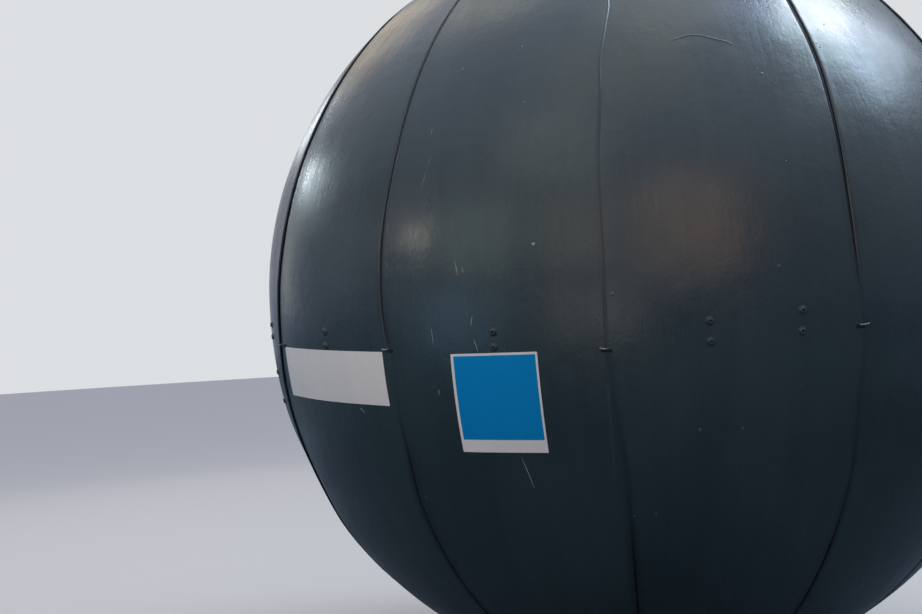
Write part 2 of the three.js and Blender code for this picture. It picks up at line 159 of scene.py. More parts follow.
@dataclass(frozen=True)
class HullForm:
    """The sphere that carries everything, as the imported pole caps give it.

    FLATNESS gives, for a panel's number, how flat it is at latitudes in degrees: 1 is a straight chord.
    BULGE gives the skin's swelling on its left side in millimetres, also at latitudes in degrees.
    """

    centre: Vector
    radius: float
    wall: float = 10 * MM
    panel_count: int = 12
    swell: float = 0.7 * MM
    swell_scale: float = 4.2
    ripple: float = 0.10 * MM
    ripple_scale: float = 13.0
    bulge_azimuth: float = math.radians(-65)
    bulge_reach: float = math.radians(28)

    FLATNESS = {
        3: ((-20, 0.0), (8, 0.2), (24, 0.72), (50, 0.72), (68, 0.0)),
        10: ((-60, 0.0), (-38, 0.45), (-26, 0.40), (-14, 0.0), (66, 0.0)),
    }
    BULGE = (
        (-60, 0.0), (-46, 1.2), (-40, 2.6), (-33, 4.4), (-27, 0.8), (-22, -1.0), (-12, -1.6), (-3, -2.2),
        (2, -0.8), (5, 0.7), (10, 2.2), (20, 4.7), (30, 5.0), (40, 5.8), (50, 6.2), (64, 3.0), (76, 0.0),
    )

    @classmethod
    def from_frame(cls) -> "HullForm":
        """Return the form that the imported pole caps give."""
        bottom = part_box("pole_cap_bottom")[0].z
        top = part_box("pole_cap_top")[1].z
        return cls(Vector((0.0, 0.0, (top + bottom) / 2)), (top - bottom) / 2)

    @property
    def panel_angle(self) -> float:
        """Return the azimuth between two seams."""
        return 2 * math.pi / self.panel_count

    @staticmethod
    def direction(azimuth: float, latitude: float) -> Vector:
        """Return the unit vector out of the sphere at an azimuth and latitude."""
        reach = math.cos(latitude)
        return Vector((reach * math.sin(azimuth), -reach * math.cos(azimuth), math.sin(latitude)))

    def flattening(self, azimuth: float, latitude: float) -> float:
        """Return how far a flat panel falls short of the sphere."""
        index, across = divmod(azimuth % (2 * math.pi), self.panel_angle)
        if int(index) + 1 not in self.FLATNESS:
            return 0.0
        flatness = table_value(self.FLATNESS[int(index) + 1], math.degrees(latitude))
        share = across / self.panel_angle
        sagitta = self.radius * math.cos(latitude) * (1 - math.cos(self.panel_angle / 2))
        return 4 * share * (1 - share) * flatness * sagitta

    def bulge(self, azimuth: float, latitude: float) -> float:
        """Return how far the skin swells on the side where the photograph shows it out of round."""
        turn = turn_from(self.bulge_azimuth, azimuth)
        if abs(turn) >= self.bulge_reach:
            return 0.0
        fade = math.cos(turn / self.bulge_reach * math.pi / 2) ** 2
        return table_value(self.BULGE, math.degrees(latitude)) * MM * fade

    def relief(self, azimuth: float, latitude: float) -> float:
        """Return how far the hand-made skin stands off the true sphere."""
        out = self.direction(azimuth, latitude)
        broad = noise.noise(out * self.swell_scale + Vector((3.1, 0.4, 7.7)))
        fine = noise.noise(out * self.swell_scale * self.ripple_scale / 4 + Vector((9.3, 5.2, 1.1)))
        rough = self.swell * (broad - 0.6) + self.ripple * fine
        return rough + self.bulge(azimuth, latitude) - self.flattening(azimuth, latitude)

    def point(self, azimuth: float, latitude: float, lift: float = 0.0) -> Vector:
        """Return the point at a lift over the skin."""
        reach = self.radius + self.relief(azimuth, latitude) + lift
        return self.centre + self.direction(azimuth, latitude) * reach

    def moved(self, azimuth: float, latitude: float, east: float, north: float) -> tuple[float, float]:
        """Return azimuth and latitude after a step along the skin in metres."""
        return azimuth + east / (self.radius * math.cos(latitude)), latitude + north / self.radius

    def seat(self, azimuth: float, latitude: float, lift: float = 0.0, turn: float = 0.0) -> Matrix:
        """Return the place of a fitting on the skin.

        Args:
            azimuth: Azimuth of the fitting.
            latitude: Latitude of the fitting.
            lift: Height over the skin.
            turn: Turn about the outward axis.

        Returns:
            A matrix whose X axis runs east, Y axis north and Z axis outwards.
        """
        out = self.direction(azimuth, latitude)
        east = Vector((math.cos(azimuth), math.sin(azimuth), 0.0))
        turned = Matrix((east, out.cross(east), out)).transposed().to_4x4() @ Matrix.Rotation(turn, 4, "Z")
        return Matrix.Translation(self.point(azimuth, latitude, lift)) @ turned

    def angles_of(self, point: Vector) -> tuple[float, float]:
        """Return azimuth and latitude of a point."""
        out = (point - self.centre).normalized()
        return math.atan2(out.x, -out.y), math.asin(max(-1.0, min(1.0, out.z)))


@dataclass(frozen=True)
class Seam:
    """One seam between two panels, hand fitted, so that it wanders about its meridian.

    Every table starts from latitudes in degrees. wander gives shifts towards +azimuth, bead the filler's
    height over the skin and gap the panels' distance, in millimetres. paint gives 1 where the joint is
    painted over and 0 where the filler is bare.
    """

    number: int
    azimuth: float
    wander: Table
    bead: Table
    gap: Table
    paint: Table

    @property
    def at_hatch(self) -> bool:
        """Say whether the hatch interrupts the seam."""
        return abs(self.azimuth - math.pi) < 0.1

    def shift(self, latitude: float) -> float:
        """Return the shift along the skin at a latitude."""
        return table_value(self.wander, math.degrees(latitude)) * MM

    def bead_height(self, latitude: float) -> float:
        """Return the filler's height over the skin at a latitude."""
        return table_value(self.bead, math.degrees(latitude)) * MM

    def gap_width(self, latitude: float) -> float:
        """Return the distance between the two panels at a latitude."""
        return table_value(self.gap, math.degrees(latitude)) * MM

    def paint_share(self, latitude: float) -> float:
        """Return how far the joint is painted over at a latitude."""
        return table_value(self.paint, math.degrees(latitude))

    def azimuth_at(self, hull: HullForm, latitude: float) -> float:
        """Return the azimuth of the seam's middle at a latitude."""
        return self.azimuth + self.shift(latitude) / (hull.radius * math.cos(latitude))


class SeamPlan:
    """All seams of the hull: five as measured, the others wandering in the same way."""

    WANDER: dict[int, Table] = {
        1: (
            (-60, 0), (-22, 10), (-13, 1), (-6, -6), (0, -5.6), (6, -5.2), (12, -6.5), (18, -6), (21, -4.3),
            (24, -2.8), (25.5, -1.7), (27.5, -2.4), (29.5, -2.4), (31, -1.4), (33, 1.2), (35, 4.2),
            (37.5, 7.4), (39.4, 9.4), (65, 0),
        ),
        2: (
            (-60, 0), (-23, 4.5), (-13, -1.5), (-8, 2), (-3, -2.6), (0, -4.6), (5, -6.6), (12, -6.2),
            (22, 1.6), (27, 6.0), (31, 8.2), (35, 9.6), (37.5, 10.6), (40, 13.4), (68, 0),
        ),
        3: ((-60, 0), (-20, -4), (10, 2), (40, 0), (65, 0)),
        11: (
            (-60, 0), (-34, -34), (-25, -20), (-18, -16), (-10, -11), (-4, 3), (2, 18), (10, 34), (20, 40),
            (30, 38), (38, 27), (46, 13), (54, 0), (65, 0),
        ),
        12: (
            (-60, 0), (-27, -5), (-18, 6.3), (-13, 9), (-10, 10.5), (-7, 9), (-4, 4.5), (0, -1), (8, -2.5),
            (19, 4.5), (32, 3.2), (46, -1),
        ),
    }
    BEAD: dict[int, Table] = {
        1: (
            (-34, -1.0), (-24, -0.6), (-8, -0.45), (-4, -0.2), (0, -0.32), (10, -0.32), (16, -0.1),
            (19, 0.3), (23, 0.9), (78, 1.0),
        ),
        2: ((-34, -1.0), (-22, -0.7), (-14, -0.35), (-5, 0.1), (-1, -0.3), (8, -1.4), (30, -2.0), (78, -2.0)),
        3: ((-78, -1.2), (-10, -1.2), (14, 2.2), (60, 2.2), (78, -1.2)),
        11: ((-78, -1.2), (-50, -1.2), (-40, 2.4), (46, 2.2), (60, -1.2), (78, -1.2)),
        12: ((-78, -1.1), (-17, -0.9), (-12, -0.1), (-6, 0.0), (-2, -1.0), (78, -1.3)),
    }
    GAP: dict[int, Table] = {
        1: ((-30, 4.0), (-20, 3.2), (30, 3.6), (78, 4.4)),
        2: ((2, 3.4), (10, 4.0), (20, 5.6), (28, 6.6), (78, 6.6)),
        3: ((-10, 4.4), (14, 8.0), (60, 8.0), (78, 4.4)),
        11: ((-50, 4.4), (-40, 9.0), (-8, 9.0), (0, 11.0), (46, 11.0), (60, 4.4)),
        12: ((-16, 3.6), (-2, 3.8), (20, 4.8), (34, 5.8), (42, 6.8), (78, 6.8)),
    }
    PAINT: dict[int, Table] = {
        1: ((-34, 0), (-24, 0.6), (-8, 0.75), (-4, 0.95), (1, 0.82), (11, 0.78), (17, 0.95), (78, 1)),
        2: ((-34, 0), (-24, 0.5), (-12, 0.75), (-4, 0.95), (-1, 0.8), (3, 0.2), (8, 0), (78, 0)),
        3: ((-78, 0),),
        11: ((-78, 0),),
        12: ((-20, 0), (-13, 0.75), (-6, 0.9), (-3, 0.2), (0, 0), (8, 0), (24, 0.3), (78, 0.35)),
    }
    USUAL_BEAD: Table = ((-78, -1.2), (-10, -0.9), (20, -1.3), (78, -1.2))
    USUAL_GAP: Table = ((-78, 4.4), (0, 3.8), (40, 5.2), (78, 5.2))

    def __init__(self, hull: HullForm, seed: int = 21) -> None:
        """Lay out the seams in order of azimuth."""
        chance = random.Random(seed)
        self.hull = hull
        self.seams = [self.make_seam(index, chance) for index in range(hull.panel_count)]

    def make_seam(self, index: int, chance: random.Random) -> Seam:
        """Return the seam at the start of a panel."""
        number = index + 1
        guessed = tuple((latitude, chance.uniform(-7, 7)) for latitude in (-45, -30, -15, 0, 15, 30, 45))
        bridged = chance.uniform(-40, 30)
        painted = ((bridged - 9, 0.0), (bridged - 3, 0.9), (bridged + 3, 0.9), (bridged + 9, 0.0))
        return Seam(
            number, index * self.hull.panel_angle,
            wander=self.WANDER.get(number, ((-62, 0), *guessed, (62, 0))),
            bead=self.BEAD.get(number, self.USUAL_BEAD),
            gap=self.GAP.get(number, self.USUAL_GAP),
            paint=self.PAINT.get(number, painted),
        )

    def around(self, panel_index: int) -> tuple[Seam, Seam]:
        """Return the seams at a panel's lower and higher azimuth."""
        return self.seams[panel_index], self.seams[(panel_index + 1) % len(self.seams)]

    def distance(self, azimuth: float, latitude: float, painted_off: float = 0.0) -> float:
        """Return the distance along the skin to the nearest seam's middle.

        Args:
            azimuth: Azimuth of the point.
            latitude: Latitude of the point.
            painted_off: What is added to the distance from a seam that is painted over.

        Returns:
            The least distance.
        """
        reach = self.hull.radius * math.cos(latitude)
        return min(
            abs(turn_from(seam.azimuth, azimuth) * reach - seam.shift(latitude))
            + painted_off * seam.paint_share(latitude)
            for seam in self.seams
        )


def curved_patch(columns: Sequence, rows: Sequence, place: Callable[[object, object], Vector]) -> BMesh:
    """Make a grid and set each vertex by its column and row.

    Args:
        columns: One value for each column of vertices.
        rows: One value for each row of vertices.
        place: Gives a vertex's point from its column's and row's values.

    Returns:
        An open sheet whose faces look where columns cross rows.
    """
    sheet = bmesh.new()
    last_column, last_row = len(columns) - 1, len(rows) - 1
    bmesh.ops.create_grid(sheet, x_segments=last_column, y_segments=last_row, size=1.0)
    for vertex in sheet.verts:
        column = columns[round((vertex.co.x + 1) / 2 * last_column)]
        row = rows[round((vertex.co.y + 1) / 2 * last_row)]
        vertex.co = place(column, row)
    sheet.normal_update()
    return sheet


def thicken(sheet: BMesh, wall: float) -> BMesh:
    """Give an open sheet a wall behind its outer face, and return it."""
    bmesh.ops.solidify(sheet, geom=sheet.faces[:], thickness=wall)
    return sheet


def outline_face(points: Iterable[Vector]) -> BMesh:
    """Return a single flat face through the points."""
    form = bmesh.new()
    form.faces.new([form.verts.new(point) for point in points])
    form.normal_update()
    return form


def round_corners(form: BMesh, corners: Iterable[BMVert], offset: float, segments: int = 3) -> None:
    """Round some corners of an outline or sheet."""
    bmesh.ops.bevel(
        form, geom=list(corners), offset=offset, offset_type="OFFSET", segments=segments, profile=0.5,
        affect="VERTICES", material=-1,
    )


def round_edges(form: BMesh, offset: float, segments: int = 2, sharper_than: float = 0.5) -> BMesh:
    """Round the edges that turn by more than an angle.

    Args:
        form: Form to round.
        offset: Size of the rounding.
        segments: Faces across it.
        sharper_than: Angle in radians.

    Returns:
        The form, whose broad flat faces get an inner border so that edge wear stays near the edges.
    """
    sharp = [edge for edge in form.edges if edge.is_manifold and edge.calc_face_angle(0.0) > sharper_than]
    bmesh.ops.bevel(
        form, geom=sharp, offset=offset, offset_type="OFFSET", segments=segments, profile=0.5,
        affect="EDGES", clamp_overlap=True, material=-1,
    )
    border = offset * 1.2
    broad = [face for face in form.faces if min(edge.calc_length() for edge in face.edges) > 4 * border]
    bmesh.ops.inset_individual(form, faces=broad, thickness=border, use_even_offset=True)
    return form


def close(form: BMesh, merge: float = 1e-6) -> BMesh:
    """Merge doubled vertices, turn the faces outwards and return the form."""
    bmesh.ops.remove_doubles(form, verts=form.verts[:], dist=merge)
    bmesh.ops.recalc_face_normals(form, faces=form.faces[:])
    return form


def rectangle(inner: float, outer: float, low: float, high: float) -> Profile:
    """Return the profile of a ring, or of a disc where the inner radius is 0."""
    return [(inner, low), (outer, low), (outer, high), (inner, high)]


def circle(reach: float, height: float, radius: float, count: int) -> Profile:
    """Return a round profile of count points about a middle."""
    angles = spread(0, 2 * math.pi, count + 1)[:-1]
    return [(reach + radius * math.cos(angle), height + radius * math.sin(angle)) for angle in angles]


def in_metres(profile: Profile) -> Profile:
    """Return a profile that is given in millimetres."""
    return [(reach * MM, height * MM) for reach, height in profile]


def turned(
    profile: Profile, steps: int = 96, rounded: Sequence[int] = (), rounding: float = 1.0 * MM,
    centre: Vector = ORIGIN, axis: Vector = UP,
) -> BMesh:
    """Turn a profile about an axis.

    Args:
        profile: Points of radius and height along the axis. One that starts and ends at radius 0 is open,
            and any other is closed.
        steps: Steps of a full turn.
        rounded: Numbers of the points whose corners are rounded.
        rounding: Size of that rounding.
        centre: Point on the axis at height 0.
        axis: Unit vector of the axis, UP or BACK.

    Returns:
        A closed solid of revolution.
    """
    points = [centre + Vector((radius, 0.0, 0.0)) + axis * height for radius, height in profile]
    form = outline_face(points)
    if rounded:
        form.verts.ensure_lookup_table()
        round_corners(form, [form.verts[number] for number in rounded], rounding)
    on_axis = [vertex for vertex in form.verts if abs(vertex.co.x - centre.x) < 1e-7]
    bmesh.ops.delete(form, geom=form.faces[:], context="FACES_ONLY")
    along_axis = [edge for edge in form.edges if all(vertex in on_axis for vertex in edge.verts)]
    bmesh.ops.delete(form, geom=along_axis, context="EDGES")
    for edge in [edge for edge in form.edges if edge.calc_length() > LOOP_SPACING]:
        cuts = math.ceil(edge.calc_length() / LOOP_SPACING)
        bmesh.ops.subdivide_edges(form, edges=[edge], cuts=cuts)
    bmesh.ops.spin(
        form, geom=form.verts[:] + form.edges[:], cent=centre, axis=axis, angle=2 * math.pi,
        steps=steps, use_merge=True, use_normal_flip=False, use_duplicate=False,
    )
    return close(form)


def extruded(form: BMesh, along: Vector) -> BMesh:
    """Extrude a flat form along a vector into a closed solid."""
    made = bmesh.ops.extrude_face_region(form, geom=form.faces[:])
    moved = [item for item in made["geom"] if isinstance(item, BMVert)]
    bmesh.ops.translate(form, verts=moved, vec=along)
    return close(form)


def bar(size: tuple[float, float, float], axis: int = 0, cuts: int = 0) -> BMesh:
    """Return a box about the origin, cut across a numbered axis so that it can be bent."""
    form = bmesh.new()
    bmesh.ops.create_cube(form, size=1.0)
    if cuts:
        along = [edge for edge in form.edges if abs((edge.verts[0].co - edge.verts[1].co)[axis]) > 0.5]
        bmesh.ops.subdivide_edges(form, edges=along, cuts=cuts, use_grid_fill=True)
    bmesh.ops.scale(form, verts=form.verts[:], vec=size)
    return form


def prism(radius: float, depth: float, sides: int = 6) -> BMesh:
    """Return a regular prism about the origin, along Z."""
    form = bmesh.new()
    bmesh.ops.create_cone(form, cap_ends=True, segments=sides, radius1=radius, radius2=radius, depth=depth)
    return form


def placed(form: BMesh, matrix: Matrix) -> BMesh:
    """Move a form by a matrix and return it."""
    bmesh.ops.transform(form, matrix=matrix, verts=form.verts[:])
    return form


def shifted(form: BMesh, x: float, y: float, z: float) -> BMesh:
    """Move a form along the axes and return it."""
    return placed(form, Matrix.Translation((x, y, z)))


def facing(point: Vector, out: Vector) -> Matrix:
    """Return the place of a thing at a point whose Z axis runs along a vector."""
    return Matrix.Translation(point) @ out.to_track_quat("Z", "Y").to_matrix().to_4x4()


def as_mesh(name: str, form: BMesh) -> Mesh:
    """Return a mesh of a form, which is kept."""
    mesh = bpy.data.meshes.new(name)
    form.to_mesh(mesh)
    return mesh


def put(name: str, data: ID) -> Object:
    """Add an object that holds the data to the scene."""
    made = bpy.data.objects.new(name, data)
    bpy.context.scene.collection.objects.link(made)
    return made


def add_copies(whole: BMesh, form: BMesh, matrices: Iterable[Matrix]) -> BMesh:
    """Add a copy of a form at each matrix to a whole, free the form and return the whole."""
    for matrix in matrices:
        mesh = as_mesh("copy", form)
        mesh.transform(matrix)
        whole.from_mesh(mesh)
        bpy.data.meshes.remove(mesh)
    form.free()
    return whole


def repeated(form: BMesh, matrices: Iterable[Matrix]) -> BMesh:
    """Return one form that holds a copy of a form at each matrix. The form is freed."""
    return add_copies(bmesh.new(), form, matrices)


def joined(forms: Iterable[BMesh]) -> BMesh:
    """Return one form that holds all the given forms, which are freed."""
    return reduce(lambda whole, form: add_copies(whole, form, [Matrix()]), forms, bmesh.new())


class NodeSketch:
    """Short way to add and link the nodes of one tree."""

    def __init__(self, tree: NodeTree) -> None:
        """Keep the tree that the nodes go into."""
        self.tree = tree

    def feed(self, node: Node, inputs: dict) -> Node:
        """Give a node a value or a linked output for each named or numbered input, and return it."""
        for key, value in inputs.items():
            if isinstance(value, NodeSocket):
                self.tree.links.new(value, node.inputs[key])
            else:
                node.inputs[key].default_value = value
        return node

    def add(self, kind: str, inputs: dict | None = None, **settings: object) -> Node:
        """Add a node.

        Args:
            kind: Blender's name of the node, less its first part ShaderNode.
            inputs: A value or a linked output for each named or numbered input.
            **settings: Values of the node's own properties.

        Returns:
            The new node.
        """
        node = self.tree.nodes.new(f"ShaderNode{kind}")
        for name, value in settings.items():
            setattr(node, name, value)
        return self.feed(node, inputs or {})

    def group(self, tree: NodeTree, **inputs: object) -> Sequence[NodeSocket]:
        """Place a node group with its own values, and return its outputs."""
        return self.add("Group", inputs, node_tree=tree).outputs

    def math(self, operation: str, first: object, second: object = 0.0) -> NodeSocket:
        """Return the result of a Math node."""
        return self.add("Math", {0: first, 1: second}, operation=operation).outputs[0]

    def plus(self, first: object, second: object) -> NodeSocket:
        """Return the sum of two numbers."""
        return self.math("ADD", first, second)

    def times(self, first: object, second: object) -> NodeSocket:
        """Return the product of two numbers."""
        return self.math("MULTIPLY", first, second)

    def scaled(self, vector: NodeSocket, factor: object) -> NodeSocket:
        """Return a vector multiplied by a vector, axis by axis."""
        return self.add("VectorMath", {0: vector, 1: factor}, operation="MULTIPLY").outputs[0]

    def noise(self, vector: NodeSocket, scale: float, detail: float, roughness: float) -> NodeSocket:
        """Return a noise value from 0 to 1."""
        inputs = {"Vector": vector, "Scale": scale, "Detail": detail, "Roughness": roughness}
        return self.add("TexNoise", inputs).outputs[0]

    def layered(self, *layers: tuple[NodeSocket, float, float, float, float]) -> NodeSocket:
        """Return a sum of noises, each given by its vector, scale, detail, roughness and weight."""
        return reduce(self.plus, [self.times(self.noise(*layer), weight) for *layer, weight in layers])

    def span(
        self, value: object, low: float, high: float, start: float = 0.0, end: float = 1.0,
        smooth: bool = True,
    ) -> NodeSocket:
        """Return start below low, end above high and a rise between them."""
        kind = "SMOOTHSTEP" if smooth else "LINEAR"
        inputs = {"Value": value, "From Min": low, "From Max": high, "To Min": start, "To Max": end}
        return self.add("MapRange", inputs, interpolation_type=kind).outputs[0]

    def blend(self, factor: object, first: object, second: object) -> NodeSocket:
        """Return a mix of two colours, each an output or a plain colour."""
        first, second = ((*part, 1.0) if isinstance(part, tuple) else part for part in (first, second))
        return self.add("Mix", {0: factor, 6: first, 7: second}, data_type="RGBA").outputs[2]

    def attribute(self, name: str) -> NodeSocket:
        """Return a number that the mesh holds for each vertex."""
        return self.add("Attribute", attribute_name=name).outputs["Fac"]

    def relief(self, height: NodeSocket, distance: float, normal: NodeSocket | None = None) -> NodeSocket:
        """Return the normal of raised forms on a surface, a height of 1 being the distance."""
        under = {} if normal is None else {"Normal": normal}
        return self.add("Bump", {"Height": height, "Distance": distance, "Strength": 1.0, **under}).outputs[0]


class EffectGroups:
    """Shader node groups that several finishes share, each built once."""

    @staticmethod
    def start(name: str, *inputs: str) -> tuple[NodeSketch, Sequence[NodeSocket]]:
        """Start a node group. Its input Scale is a number, and any other is a vector."""
        tree = bpy.data.node_groups.new(name, "ShaderNodeTree")
        for label in inputs:
            kind = "NodeSocketFloat" if label == "Scale" else "NodeSocketVector"
            tree.interface.new_socket(label, in_out="INPUT", socket_type=kind)
        return NodeSketch(tree), tree.nodes.new("NodeGroupInput").outputs

    @staticmethod
    def finish(sketch: NodeSketch, **results: NodeSocket) -> NodeTree:
        """Give a node group its outputs, which are numbers, and return its tree."""
        for label in results:
            sketch.tree.interface.new_socket(label, in_out="OUTPUT", socket_type="NodeSocketFloat")
        sketch.feed(sketch.tree.nodes.new("NodeGroupOutput"), results)
        return sketch.tree

    @cached_property
    def paint_film(self) -> NodeTree:
        """Brushed paint: cloudy tone, patchy gloss, and brush marks, orange peel and dents as height."""
        sketch, given = self.start("paint_film", "Vector", "Grain")
        vector = given["Vector"]
        combed = sketch.scaled(vector, given["Grain"])
        clouds, bands = (vector, 3.4, 3.0, 0.55, 0.7), (combed, 26.0, 3.0, 0.6, 0.3)
        patches, streaks = (vector, 8.0, 4.0, 0.6, 0.65), (combed, 90.0, 2.0, 0.6, 0.35)
        strokes, peel = (combed, 230.0, 4.0, 0.65, 0.50), (vector, 170.0, 3.0, 0.65, 0.62)
        dents = (vector, 32.0, 2.0, 0.5, 1.5)
        return self.finish(
            sketch,
            Tone=sketch.span(sketch.layered(clouds, bands), 0.3, 0.7),
            Gloss=sketch.span(sketch.layered(patches, streaks), 0.3, 0.7),
            Height=sketch.layered(strokes, peel, dents),
        )

    @cached_property
    def settled_dust(self) -> NodeTree:
        """Dust that lies where a surface looks up."""
        sketch, given = self.start("settled_dust", "Vector")
        normal = sketch.add("NewGeometry").outputs["Normal"]
        lying = sketch.span(sketch.add("SeparateXYZ", {0: normal}).outputs["Z"], 0.15, 0.98)
        patchy = sketch.span(sketch.noise(given["Vector"], 16.0, 5.0, 0.65), 0.25, 0.8, 0.35, 1.0)
        return self.finish(sketch, Mask=sketch.times(lying, patchy))

    @cached_property
    def worn_edges(self) -> NodeTree:
        """Edges where the finish is rubbed thin."""
        sketch, given = self.start("worn_edges", "Vector")
        edge = sketch.span(sketch.add("NewGeometry").outputs["Pointiness"], 0.53, 0.60)
        broken = sketch.span(sketch.noise(given["Vector"], 60.0, 4.0, 0.7), 0.42, 0.62)
        return self.finish(sketch, Mask=sketch.times(edge, broken))

    @cached_property
    def hairlines(self) -> NodeTree:
        """Fine lines of ground or brushed metal, with smudges."""
        sketch, given = self.start("hairlines", "Vector", "Grain")
        lines = sketch.noise(sketch.scaled(given["Vector"], given["Grain"]), 520.0, 2.0, 0.6)
        smudge = sketch.span(sketch.noise(given["Vector"], 22.0, 4.0, 0.6), 0.35, 0.7)
        return self.finish(sketch, Lines=lines, Smudge=smudge)

    @cached_property
    def specks(self) -> NodeTree:
        """Sparse small spots, such as grit, splashes and pinholes."""
        sketch, given = self.start("specks", "Vector", "Scale")
        cells = sketch.add("TexVoronoi", {"Vector": given["Vector"], "Scale": given["Scale"]}).outputs
        spot = sketch.span(cells["Distance"], 0.06, 0.11, 1.0, 0.0)
        kept = sketch.span(sketch.add("SeparateColor", {0: cells["Color"]}).outputs[0], 0.90, 0.93)
        return self.finish(sketch, Mask=sketch.times(spot, kept))


@dataclass(frozen=True)
class FinishBase:
    """What every finish has: a name, the record's slot and where its pattern is fixed."""

    name: str
    slot: Slot
    mapping: Mapping = Mapping.OBJECT

    def build(self, groups: EffectGroups) -> Material:
        """Return the material."""
        material = bpy.data.materials.new(self.name)
        material.use_nodes = True
        sketch = NodeSketch(material.node_tree)
        if self.mapping is Mapping.SKIN:
            vector = sketch.add("UVMap", uv_map=SKIN_UV).outputs[0]
        else:
            vector = sketch.add("TexCoord").outputs["Object"]
        shader = material.node_tree.nodes["Principled BSDF"]
        sketch.feed(shader, self.looks(sketch, vector, groups))
        return material

    def looks(self, sketch: NodeSketch, vector: NodeSocket, groups: EffectGroups) -> dict:
        """Sketch the finish.

        Args:
            sketch: Sketch of the material's tree.
            vector: Vector of the pattern.
            groups: Effects to draw on.

        Returns:
            A value or a linked output for each of the shader's inputs that differs from the usual.
        """
        raise NotImplementedError

    @property
    def grain(self) -> tuple[float, float, float]:
        """Return the stretch that draws brush marks out along the meridians."""
        return (1.0, 0.07, 1.0) if self.mapping is Mapping.SKIN else (1.0, 1.0, 0.07)


@dataclass(frozen=True)
class PaintFinish(FinishBase):
    """Brushed or sprayed paint with dust, specks and worn edges."""

    dark: Colour = (0.02, 0.02, 0.02)
    light: Colour = (0.03, 0.03, 0.03)
    smooth_roughness: float = 0.3
    dull_roughness: float = 0.45
    bump: float = 0.05 * MM
    dust: float = 0.1
    dust_colour: Colour = (0.22, 0.22, 0.20)
    edge_colour: Colour = (0.25, 0.26, 0.26)
    edge_wear: float = 0.0
    speckle: float = 0.15
    speck_height: float = 1.2
    seam_shade: float = 0.0
    seam_reach: tuple[float, float] = (2.0 * MM, 16.0 * MM)
    pits: float = 0.0
    coat: float = 0.0
    coat_roughness: float = 0.16

    def looks(self, sketch: NodeSketch, vector: NodeSocket, groups: EffectGroups) -> dict:
        """Sketch the finish."""
        film = sketch.group(groups.paint_film, Vector=vector, Grain=self.grain)
        specks = sketch.group(groups.specks, Vector=vector, Scale=34.0)["Mask"]
        colour = sketch.blend(film["Tone"], self.dark, self.light)
        # Painted shade: the paint turns darker near the seams, standing in for the shade along the joints.
        if self.seam_shade:
            near = sketch.span(sketch.attribute(SEAM_ATTRIBUTE), *self.seam_reach, self.seam_shade, 0.0)
            colour = sketch.blend(near, colour, tuple(0.45 * part for part in self.dark))
        if self.edge_wear:
            worn = sketch.group(groups.worn_edges, Vector=vector)["Mask"]
            colour = sketch.blend(sketch.times(worn, self.edge_wear), colour, self.edge_colour)
        colour = sketch.blend(sketch.times(specks, self.speckle), colour, self.edge_colour)
        veil = sketch.times(sketch.group(groups.settled_dust, Vector=vector)["Mask"], self.dust)
        rough = sketch.span(film["Gloss"], 0.0, 1.0, self.smooth_roughness, self.dull_roughness, smooth=False)
        height = sketch.plus(film["Height"], sketch.times(specks, self.speck_height))
        if self.pits:
            pits = sketch.group(groups.specks, Vector=vector, Scale=95.0)["Mask"]
            height = sketch.math("SUBTRACT", height, sketch.times(pits, self.pits))
        return {
            "Base Color": sketch.blend(veil, colour, self.dust_colour),
            "Roughness": sketch.plus(rough, sketch.times(veil, 0.6)),
            "Coat Weight": self.coat,
            "Coat Roughness": self.coat_roughness,
            "Normal": sketch.relief(height, self.bump),
        }


@dataclass(frozen=True)
class MetalFinish(FinishBase):
    """Bare metal, ground or rolled, with smudges, dull patches and dirt."""

    bright: Colour = (0.62, 0.63, 0.63)
    dull: Colour = (0.40, 0.41, 0.42)
    grit_colour: Colour = (0.12, 0.10, 0.08)
    dust_colour: Colour = (0.30, 0.29, 0.27)
    smooth_roughness: float = 0.22
    dull_roughness: float = 0.42
    bump: float = 0.02 * MM
    dust: float = 0.2

    def looks(self, sketch: NodeSketch, vector: NodeSocket, groups: EffectGroups) -> dict:
        """Sketch the finish."""
        lines = sketch.group(groups.hairlines, Vector=vector, Grain=self.grain)
        specks = sketch.group(groups.specks, Vector=vector, Scale=60.0)["Mask"]
        veil = sketch.times(sketch.group(groups.settled_dust, Vector=vector)["Mask"], self.dust)
        colour = sketch.blend(lines["Smudge"], self.bright, self.dull)
        colour = sketch.blend(sketch.times(specks, 0.7), colour, self.grit_colour)
        mixed = sketch.plus(sketch.times(lines["Lines"], 0.4), sketch.times(lines["Smudge"], 0.6))
        rough = sketch.span(mixed, 0.0, 1.0, self.smooth_roughness, self.dull_roughness, smooth=False)
        return {
            "Base Color": sketch.blend(veil, colour, self.dust_colour),
            "Roughness": sketch.plus(rough, veil),
            "Metallic": sketch.math("SUBTRACT", 1.0, veil),
            "Normal": sketch.relief(lines["Lines"], self.bump),
        }


@dataclass(frozen=True)
class TreadFinish(MetalFinish):
    """Bare metal deck plate with a raised lozenge tread."""

    tread_pitch: float = 28 * MM
    tread_height: float = 0.8 * MM

    def looks(self, sketch: NodeSketch, vector: NodeSocket, groups: EffectGroups) -> dict:
        """Sketch the finish."""
        looks = super().looks(sketch, vector, groups)
        x, y, _ = sketch.add("SeparateXYZ", {0: vector}).outputs
        wave = 2 * math.pi / self.tread_pitch
        across = sketch.math("SINE", sketch.times(sketch.plus(x, y), wave))
        along = sketch.math("SINE", sketch.times(sketch.math("SUBTRACT", x, y), wave))
        bars = sketch.span(sketch.times(across, along), 0.35, 0.75)
        return looks | {"Normal": sketch.relief(bars, self.tread_height, looks["Normal"])}


